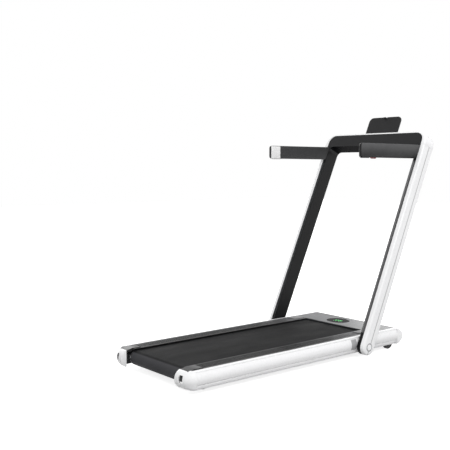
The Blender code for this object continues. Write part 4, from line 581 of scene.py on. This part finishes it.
def add_turned(form, centre, out, profile, steps):
    """Adds a turned form: profile of (radius, height) pairs round an axis; a radius of 0 closes it."""
    side = out.orthogonal().normalized()
    other = out.cross(side)
    turns = [2 * math.pi * i / steps for i in range(steps)]
    spokes = [side * math.cos(a) + other * math.sin(a) for a in turns]
    rings = []
    for radius, height in profile:
        if radius == 0:
            rings.append([form.verts.new(centre + out * height)])
        else:
            rings.append([form.verts.new(centre + out * height + spoke * radius) for spoke in spokes])
    for one, two in zip(rings, rings[1:]):
        for i in range(steps):
            j = (i + 1) % steps
            face = [one[i % len(one)], one[j % len(one)], two[j % len(two)], two[i % len(two)]]
            form.faces.new([v for k, v in enumerate(face) if v not in face[:k]])


# Operators, one for each group of pieces

class TREADMILL_OT_white_shells(bpy.types.Operator):
    """White mouldings: rails, rear caps, upright shells, trim and buttons, and the arms' pierced plates"""
    bl_idname = "treadmill.white_shells"
    bl_label = "White shells"

    def execute(self, context):
        white, edge = tuple(colours().shell), sizes().shell_edge
        gloss = moulded_gloss_abs("White gloss ABS, moulded", white, roughness=0.28)
        dress(both("side_rail") + both("rear_cap") + ["crossbar_trim"], gloss, edge)
        groove_painted_shade = moulded_gloss_abs("White gloss ABS, with a groove and painted shade", white, roughness=0.28)
        shadow_line(groove_painted_shade, middle("upright_shell_left"), width=6 * MM, share=0.5)
        dress(both("upright_shell"), groove_painted_shade, edge)
        # Painted shade: the shells' inner faces, which look into the arm bays, are coloured black where only
        # shade falls.
        bay = spark_textured_abs("Black ABS, painted shade in the arm bay", linear(BAY_SHADE_AND_RIM_BLACK), roughness=0.5)
        for side_name, side in SIDES.items():
            paint(f"upright_shell_{side_name}", bay, lambda face: face.normal.y * side < -FACING)
        dress(both("lock_button"), gloss, edge / 2)
        grille = perforated_sheet("White steel sheet, pierced", linear("#F0F0F0"), hole=linear("#6A6A6A"))
        dress(both("speaker_grille"), grille, edge / 3)
        low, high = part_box("speaker_grille_left")
        rim_band(grille, low, high, width=3 * MM, tone=linear(BAY_SHADE_AND_RIM_BLACK))
        return {"FINISHED"}


class TREADMILL_OT_frame(bpy.types.Operator):
    """Dark parts of the handrail frame: channels, housing, arms, tablet rest, clip and tubes"""
    bl_idname = "treadmill.frame"
    bl_label = "Handrail frame"

    def execute(self, context):
        edge = sizes().plastic_edge
        coat = powder_coat("Black powder coat on steel", tuple(colours().channel), roughness=0.42)
        dress(both("upright_channel"), coat, edge)
        # Painted light: the channel wall that faces into the arm bay is pale grey, standing in for light
        # falling into the bay.
        bay_wall_light = spark_textured_abs("Grey ABS, painted light on the bay wall", linear("#929293"), roughness=0.45)
        # Painted highlight: a thin pale band on the rear edge of each channel's inner wall.
        trim = powder_coat("Grey powder coat, painted highlight on the rear edge", linear("#B4B4B5"), roughness=0.35)
        for side_name, side in SIDES.items():
            channel = f"upright_channel_{side_name}"
            rim = min(abs(corner.y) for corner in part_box(channel)) + EDGE_HIGHLIGHT_DEPTH
            paint(channel, bay_wall_light, lambda face: face.normal.y * side > FACING)
            paint(channel, trim, lambda face: face.normal.dot(ACROSS) < -FACING and abs(face.center.y) < rim)
        satin = spark_textured_abs("Black ABS, spark textured", tuple(colours().housing), roughness=0.5)
        dress(["crossbar_housing", "tablet_rest"], satin, edge)
        arm = spark_textured_abs("Black ABS, fine textured", tuple(colours().arm),
                                 roughness=0.42, grain_mm=0.8)
        dress(both("arm"), arm, edge)
        # Painted shade: faces of the arms and housing that look down are darker and nearly without shine.
        under = spark_textured_abs("Black ABS, underside in painted shade", linear("#08080A"), roughness=0.6, gloss=0.02)
        for name in both("arm") + ["crossbar_housing"]:
            paint(name, under, lambda face: face.normal.z < UNDERSIDE)
        clip = spark_textured_abs("Black ABS, smooth", linear("#0E0E0F"), roughness=0.4)
        dress(["rest_clip"], clip, edge)
        steel = powder_coat("Grey powder coat on steel", linear("#5E6062"), roughness=0.45)
        dress(both("upright_tube") + ["crossbar_tube"], steel, edge)
        return {"FINISHED"}


class TREADMILL_OT_deck(bpy.types.Operator):
    """Belt, board, foot strips, corner guards, cushions, drive belt, feet and wheels"""
    bl_idname = "treadmill.deck"
    bl_label = "Deck"

    def execute(self, context):
        edge = sizes().plastic_edge
        belt = belt_fabric("PVC faced belt, pressed lattice", tuple(colours().belt))
        dress(["walking_belt"], belt, edge / 3)
        board = pressed_board("Black filmed and waxed MDF board", linear("#1D1A18"))
        dress(["running_board"], board, edge / 2)
        strip = spark_textured_abs("Black ABS, ribbed", tuple(colours().strip), roughness=0.4)
        # Painted light and shade: the strips run from dark at their rear ends to much paler further forward.
        painted_light_ramp(strip, Vector((0.2, 0, 0)), FRONT, half_width=0.13, low_share=0.38, high_share=3.6)
        dress(both("foot_strip"), strip, edge / 3)
        block = spark_textured_abs("Grey ABS, polished", linear("#7E7E7F"), roughness=0.3)
        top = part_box("motor_cover")[1].z + 1 * MM      # of the strips, only their front blocks reach higher
        for name in both("foot_strip"):
            paint(name, block, lambda face: face.center.z > top)
        guard = spark_textured_abs("Grey ABS, satin", tuple(colours().guard), roughness=0.33)
        dress(both("corner_guard"), guard, edge)
        rubber = moulded_rubber("Black rubber, moulded", linear("#1B1B1C"), roughness=0.75)
        dress(both("deck_cushion") + ["drive_belt"], rubber, edge / 2)
        pale = moulded_rubber("Pale grey rubber, moulded", linear("#D5D5D6"), roughness=0.7)
        dress(both("rubber_foot"), pale, edge / 2)
        dress(both("wheel"), rubber, edge / 2)
        return {"FINISHED"}


class TREADMILL_OT_cover(bpy.types.Operator):
    """Brushed motor cover, display lens and board, nose and power panel"""
    bl_idname = "treadmill.cover"
    bl_label = "Motor cover"

    def execute(self, context):
        edge = sizes().plastic_edge
        cover = brushed_aluminium("Aluminium sheet, brushed and lacquered", tuple(colours().cover),
                                  roughness=0.42, stretch=(1, 30, 1))
        # Painted shade: the cover is darker toward its right side, holding down its reflections there.
        painted_light_ramp(cover, Vector((0, -0.1, 0)), LEFT, half_width=0.2, low_share=0.3, high_share=0.95)
        dress(["motor_cover"], cover, edge)
        dress(["display_window"], smoked_glass("Black backed acrylic", linear("#0B0C0C")), edge / 4)
        board = circuit_laminate("Circuit board laminate", linear("#1F5B36"), copper=linear("#9FB58A"))
        dress(["display_board"], board, edge / 4)
        nose = spark_textured_abs("Black ABS, satin", linear("#262627"), roughness=0.4)
        dress(["nose_cover", "power_panel", "power_rocker"], nose, edge / 2)
        return {"FINISHED"}


class TREADMILL_OT_steelwork(bpy.types.Operator):
    """Welded base, shafts, rollers, bolts, motor and controller"""
    bl_idname = "treadmill.steelwork"
    bl_label = "Steelwork and drive"

    def execute(self, context):
        edge = sizes().metal_edge
        coat = powder_coat("Charcoal powder coat on steel", linear("#3B3C3E"), roughness=0.5)
        dress(both("side_beam") + ["cross_member_front", "cross_member_middle", "cross_member_rear",
                                   "motor_tray"], coat, edge)
        bright = turned_steel("Zinc plated steel, turned", linear("#B9BBBD"), roughness=0.3)
        dress(["front_roller", "rear_roller", "roller_shaft_front", "roller_shaft_rear", "motor_rotor"]
              + both("tension_bolt") + both("pivot_bolt") + both("arm_pin"), bright, edge)
        enamel = powder_coat("Black enamel on steel", linear("#1E1F20"), roughness=0.35)
        dress(["motor"], enamel, edge)
        fins = brushed_aluminium("Aluminium, extruded", linear("#A7A9AB"), roughness=0.38, stretch=(25, 1, 1))
        dress(["controller"], fins, edge / 2)
        return {"FINISHED"}


class TREADMILL_OT_key(bpy.types.Operator):
    """Red safety key"""
    bl_idname = "treadmill.key"
    bl_label = "Safety key"

    def execute(self, context):
        red = moulded_gloss_abs("Red ABS, moulded", tuple(colours().key), roughness=0.3)
        dress(["safety_key"], red, sizes().plastic_edge)
        return {"FINISHED"}


class TREADMILL_OT_arm_grips(bpy.types.Operator):
    """Soft grey pads on the outside of the arms, and their charcoal inner faces"""
    bl_idname = "treadmill.arm_grips"
    bl_label = "Arm grips"

    def execute(self, context):
        pad = spark_textured_abs("Grey soft touch moulding", tuple(colours().grip),
                                 roughness=0.48, grain_mm=1.2)
        crown(pad, middle("arm_left"), UP, half_width=36 * MM, sag=12 * MM)
        # Painted light and shade: the pads are paler at the top and darker toward the bottom.
        painted_light_ramp(pad, middle("speaker_grille_left"), UP, half_width=34 * MM, low_share=0.2, high_share=1.6)
        inside = spark_textured_abs("Charcoal ABS, spark textured", linear("#3C3C3D"), roughness=0.5)
        for side_name, side in SIDES.items():
            paint(f"arm_{side_name}", pad, lambda face: face.normal.y * side > FACING)
            paint(f"arm_{side_name}", inside, lambda face: face.normal.y * side < -FACING)
        return {"FINISHED"}


class TREADMILL_OT_grip_patches(bpy.types.Operator):
    """Ribbed grey patches on the rails just behind the pivots"""
    bl_idname = "treadmill.grip_patches"
    bl_label = "Grip patches"

    def execute(self, context):
        finish = spark_textured_abs("Grey rubbery moulding, ribbed", linear("#ABABAC"), roughness=0.45)
        reach = sizes().patch_length
        columns = int(reach / (sizes().patch_pitch / PATCH_STEPS))
        for side_name, side in SIDES.items():
            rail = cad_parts[f"side_rail_{side_name}"]
            surface = BVHTree.FromObject(rail, context.evaluated_depsgraph_get())
            low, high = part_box(f"side_rail_{side_name}")
            front = middle(f"lock_button_{side_name}").x - PATCH_BEHIND_PIVOT
            bottom, top = low.z + PATCH_ABOVE_RAIL_FOOT, high.z - PATCH_BELOW_RAIL_TOP
            form = bmesh.new()
            grid = []
            for i in range(columns + 1):
                x = front - reach * i / columns
                rib = 0.5 - 0.5 * math.cos(2 * math.pi * i / PATCH_STEPS)
                line = []
                for j in range(PATCH_ROWS + 1):
                    z = bottom + (top - bottom) * j / PATCH_ROWS
                    hit = surface.ray_cast(Vector((x, side * RAY_START, z)), Vector((0, -side, 0)))[0]
                    if hit is None:
                        raise RuntimeError(f"The {side_name} rail has no outer face at x {x:.3f}, z {z:.3f}")
                    on_rim = min(i, columns - i, j, PATCH_ROWS - j) == 0
                    lift = -PATCH_ROOT if on_rim else PATCH_SKIN + RIB_HEIGHT * rib
                    line.append(form.verts.new((x, hit.y + side * lift, z)))
                grid.append(line)
            for one, two in zip(grid, grid[1:]):
                for j in range(PATCH_ROWS):
                    form.faces.new((one[j], one[j + 1], two[j + 1], two[j]))
            form.faces.new([line[0] for line in grid] + grid[-1][1:-1] + [line[-1] for line in grid[::-1]]
                           + grid[0][-2:0:-1])
            add_piece(f"grip_patch_{side_name}", form, finish, "deck")
        return {"FINISHED"}


class TREADMILL_OT_button_rings(bpy.types.Operator):
    """Grey rings round the pivot buttons"""
    bl_idname = "treadmill.button_rings"
    bl_label = "Button rings"

    def execute(self, context):
        finish = moulded_gloss_abs("Grey gloss ABS, moulded", linear("#9A9B9D"), roughness=0.3)
        for side_name, side in SIDES.items():
            low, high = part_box(f"lock_button_{side_name}")
            centre = middle(f"lock_button_{side_name}")
            centre.y = 0
            face = max(abs(corner.y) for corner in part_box(f"upright_shell_{side_name}"))
            inner = (high.x - low.x) / 2 + RING_GAP
            outer = inner + sizes().ring_width
            profile = [(inner, face - RING_ROOT), (inner, face + RING_SHOULDER),
                       (inner + 0.8 * MM, face + RING_CROWN), (outer - 1.5 * MM, face + RING_SHOULDER),
                       (outer, face + RING_RIM), (outer, face - RING_ROOT), (inner, face - RING_ROOT)]
            form = bmesh.new()
            add_turned(form, centre, LEFT * side, profile, RING_STEPS)
            bmesh.ops.remove_doubles(form, verts=form.verts, dist=1e-6)
            add_piece(f"button_ring_{side_name}", form, finish, "frame")
        return {"FINISHED"}


def segment_bars(height):
    """Bars of a seven bar figure as (middle, upright or not), on a cell half as wide as it is high."""
    half = height / 2
    return {"a": ((half / 2, 2 * half), False), "g": ((half / 2, half), False), "d": ((half / 2, 0), False),
            "f": ((0, 1.5 * half), True), "b": ((half, 1.5 * half), True),
            "e": ((0, 0.5 * half), True), "c": ((half, 0.5 * half), True)}


class TREADMILL_OT_digits(bpy.types.Operator):
    """Lit figures of the display: a time and three marks"""
    bl_idname = "treadmill.digits"
    bl_label = "Display figures"

    def execute(self, context):
        finish = lit_segment("Green LED figure", tuple(colours().digits))
        height = sizes().digit_height
        bars = segment_bars(height)
        bar = height * BAR_HALF
        half = height / 4 - bar * 0.9                  # half a bar's length, less the gap at its end
        right, up = -LEFT, FRONT                       # as a runner on the belt reads it
        start = middle("display_window") - right * (CLOCK_START * height) - up * (height / 2)
        start.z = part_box("display_window")[1].z
        form = bmesh.new()
        for place, figure in CLOCK:
            corner = start + right * (place * height)
            for key in SEGMENTS[figure]:
                (a, b), upright = bars[key]
                spot = corner + right * a + up * b
                one, two = (up, right) if upright else (right, up)
                outline = [spot - one * half - two * bar, spot - one * (half + bar),
                           spot - one * half + two * bar, spot + one * half + two * bar,
                           spot + one * (half + bar), spot + one * half - two * bar]
                add_slab(form, outline, FIGURE_LIFT, FIGURE_THICKNESS, UP)
        low, high = FIGURE_LIFT, FIGURE_LIFT + FIGURE_THICKNESS
        for rise in COLON_RISES:
            dot = start + right * (COLON_PLACE * height) + up * (rise * height)
            add_turned(form, dot, UP, [(0, low), (bar, low), (bar, high), (0, high)], 12)
        for place in MARK_PLACES:
            spot = start + right * (place * height) - up * (MARK_DROP * height)
            outline = [spot + right * a * height + up * b * height for a, b in MARK_CORNERS]
            add_slab(form, outline, FIGURE_LIFT, FIGURE_THICKNESS, UP)
        add_piece("display_figures", form, finish, "deck", smooth=False)
        return {"FINISHED"}


class TREADMILL_OT_fasteners(bpy.types.Operator):
    """Pan head screws under the motor tray, and the pins of the power inlet"""
    bl_idname = "treadmill.fasteners"
    bl_label = "Fasteners and pins"

    def execute(self, context):
        finish = turned_steel("Zinc plated screw", linear("#A9ABAD"), roughness=0.32)
        radius = sizes().screw_head / 2
        profile = [(r * radius, h * radius) for r, h in SCREW_PROFILE]
        low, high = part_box("motor_tray")
        form = bmesh.new()
        for x in (low.x + SCREW_END_INSET, (low.x + high.x) / 2, high.x - SCREW_END_INSET):
            for y in (low.y + SCREW_SIDE_INSET, high.y - SCREW_SIDE_INSET):
                add_turned(form, Vector((x, y, low.z)), -UP, profile, SCREW_STEPS)
        add_piece("tray_screws", form, finish, "deck")
        low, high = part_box("power_panel")
        centre = Vector((high.x - INLET_DEPTH, INLET_Y, (low.z + high.z) / 2))
        form = bmesh.new()
        for y, z in PIN_PLACES:
            outline = [centre + Vector((0, y + a, z + b)) for a, b in PIN_CORNERS]
            add_slab(form, outline, -PIN_ROOT, PIN_LENGTH, FRONT)
        add_piece("inlet_pins", form, finish, "deck", bevel=PIN_EDGE)
        return {"FINISHED"}


class TREADMILL_OT_stage(bpy.types.Operator):
    """Pale floor, soft lights and the camera"""
    bl_idname = "treadmill.stage"
    bl_label = "Studio"

    def execute(self, context):
        scene = context.scene
        scene.view_settings.view_transform = "Standard"
        form = bmesh.new()
        bmesh.ops.create_grid(form, x_segments=2, y_segments=2, size=FLOOR_HALF)
        mesh = bpy.data.meshes.new("floor")
        form.to_mesh(mesh)
        form.free()
        floor = bpy.data.objects.new("floor", mesh)
        floor.location.z = CAD_BOX[0][2] - FLOOR_GAP
        scene.collection.objects.link(floor)
        paper = bpy.data.materials.new("Pale matt floor")
        paper.use_nodes = True
        tree = paper.node_tree
        shader = tree.nodes["Principled BSDF"]
        shader.inputs["Base Color"].default_value = linear("#F4F4F4")
        shader.inputs["Roughness"].default_value = 0.9
        shader.inputs["Specular IOR Level"].default_value = 0.0
        glow = add_node(tree, "ShaderNodeEmission", {"Color": (1, 1, 1, 1), "Strength": FLOOR_GLOW})
        glowing = add_node(tree, "ShaderNodeAddShader", links={0: shader.outputs[0], 1: glow.outputs[0]})
        dim = add_node(tree, "ShaderNodeBsdfDiffuse", {"Color": linear("#959595")})
        mix = add_node(tree, "ShaderNodeMixShader",
                       links={0: background_rays(tree), 1: dim.outputs[0], 2: glowing.outputs[0]})
        tree.links.new(mix.outputs[0], tree.nodes["Material Output"].inputs["Surface"])
        mesh.materials.append(paper)

        world = bpy.data.worlds.new("Studio")
        scene.world = world
        world.use_nodes = True
        tree = world.node_tree
        back = tree.nodes["Background"]
        place = add_node(tree, "ShaderNodeTexCoord").outputs["Generated"]
        toward = add_node(tree, "ShaderNodeVectorMath", {"operation": "DOT_PRODUCT", 1: SOFT_LIGHT_FROM},
                          {0: place}).outputs["Value"]
        light = add_node(tree, "ShaderNodeMapRange",
                         {"From Min": -0.4, "From Max": 1.0, "To Min": SKY_DIM, "To Max": SKY_BRIGHT},
                         {"Value": toward}).outputs["Result"]
        strength = add_node(tree, "ShaderNodeMix", {"data_type": "FLOAT", 3: 1.0},
                            {0: background_rays(tree), 2: light})
        back.inputs["Color"].default_value = (1, 1, 1, 1)
        tree.links.new(strength.outputs[0], back.inputs["Strength"])

        for name, spot, aim, size, power in LAMPS:
            lamp = bpy.data.lights.new(name, "AREA")
            lamp.shape = "DISK"
            lamp.size = size
            lamp.energy = power
            holder = bpy.data.objects.new(name, lamp)
            holder.location = spot
            holder.rotation_euler = (Vector(aim) - Vector(spot)).to_track_quat("-Z", "Y").to_euler()
            scene.collection.objects.link(holder)

        camera = bpy.data.cameras.new("Camera")
        camera.lens = CAMERA_LENS
        camera.sensor_width = CAMERA_SENSOR
        camera.clip_end = CAMERA_REACH
        holder = bpy.data.objects.new("Camera", camera)
        holder.location = CAMERA_PLACE
        holder.rotation_euler = CAMERA_TURN
        scene.collection.objects.link(holder)
        scene.camera = holder
        return {"FINISHED"}


OPERATORS = (
    TREADMILL_OT_white_shells, TREADMILL_OT_frame, TREADMILL_OT_deck, TREADMILL_OT_cover,
    TREADMILL_OT_steelwork, TREADMILL_OT_key, TREADMILL_OT_arm_grips, TREADMILL_OT_grip_patches,
    TREADMILL_OT_button_rings, TREADMILL_OT_digits, TREADMILL_OT_fasteners, TREADMILL_OT_stage,
)


class TREADMILL_PT_panel(bpy.types.Panel):
    """Steps, colours and sizes of the treadmill's looks"""
    bl_idname = "TREADMILL_PT_panel"
    bl_label = "Treadmill"
    bl_space_type = "VIEW_3D"
    bl_region_type = "UI"
    bl_category = "Treadmill"

    def draw(self, context):
        layout = self.layout
        for operator in OPERATORS:
            layout.operator(operator.bl_idname)
        for group in (context.scene.treadmill_colours, context.scene.treadmill_sizes):
            box = layout.box()
            for name in group.bl_rna.properties.keys():
                if name not in ("rna_type", "name"):
                    box.prop(group, name)


CLASSES = (TreadmillColours, TreadmillSizes) + OPERATORS + (TREADMILL_PT_panel,)


def register():
    for item in CLASSES:
        bpy.utils.register_class(item)
    bpy.types.Scene.treadmill_colours = bpy.props.PointerProperty(type=TreadmillColours)
    bpy.types.Scene.treadmill_sizes = bpy.props.PointerProperty(type=TreadmillSizes)


def unregister():
    del bpy.types.Scene.treadmill_sizes
    del bpy.types.Scene.treadmill_colours
    for item in reversed(CLASSES):
        bpy.utils.unregister_class(item)


def main():
    """Registers the add-on and runs its steps in order."""
    register()
    for operator in OPERATORS:
        group, step = operator.bl_idname.split(".")
        getattr(getattr(bpy.ops, group), step)()


if __name__ == "__main__":
    main()
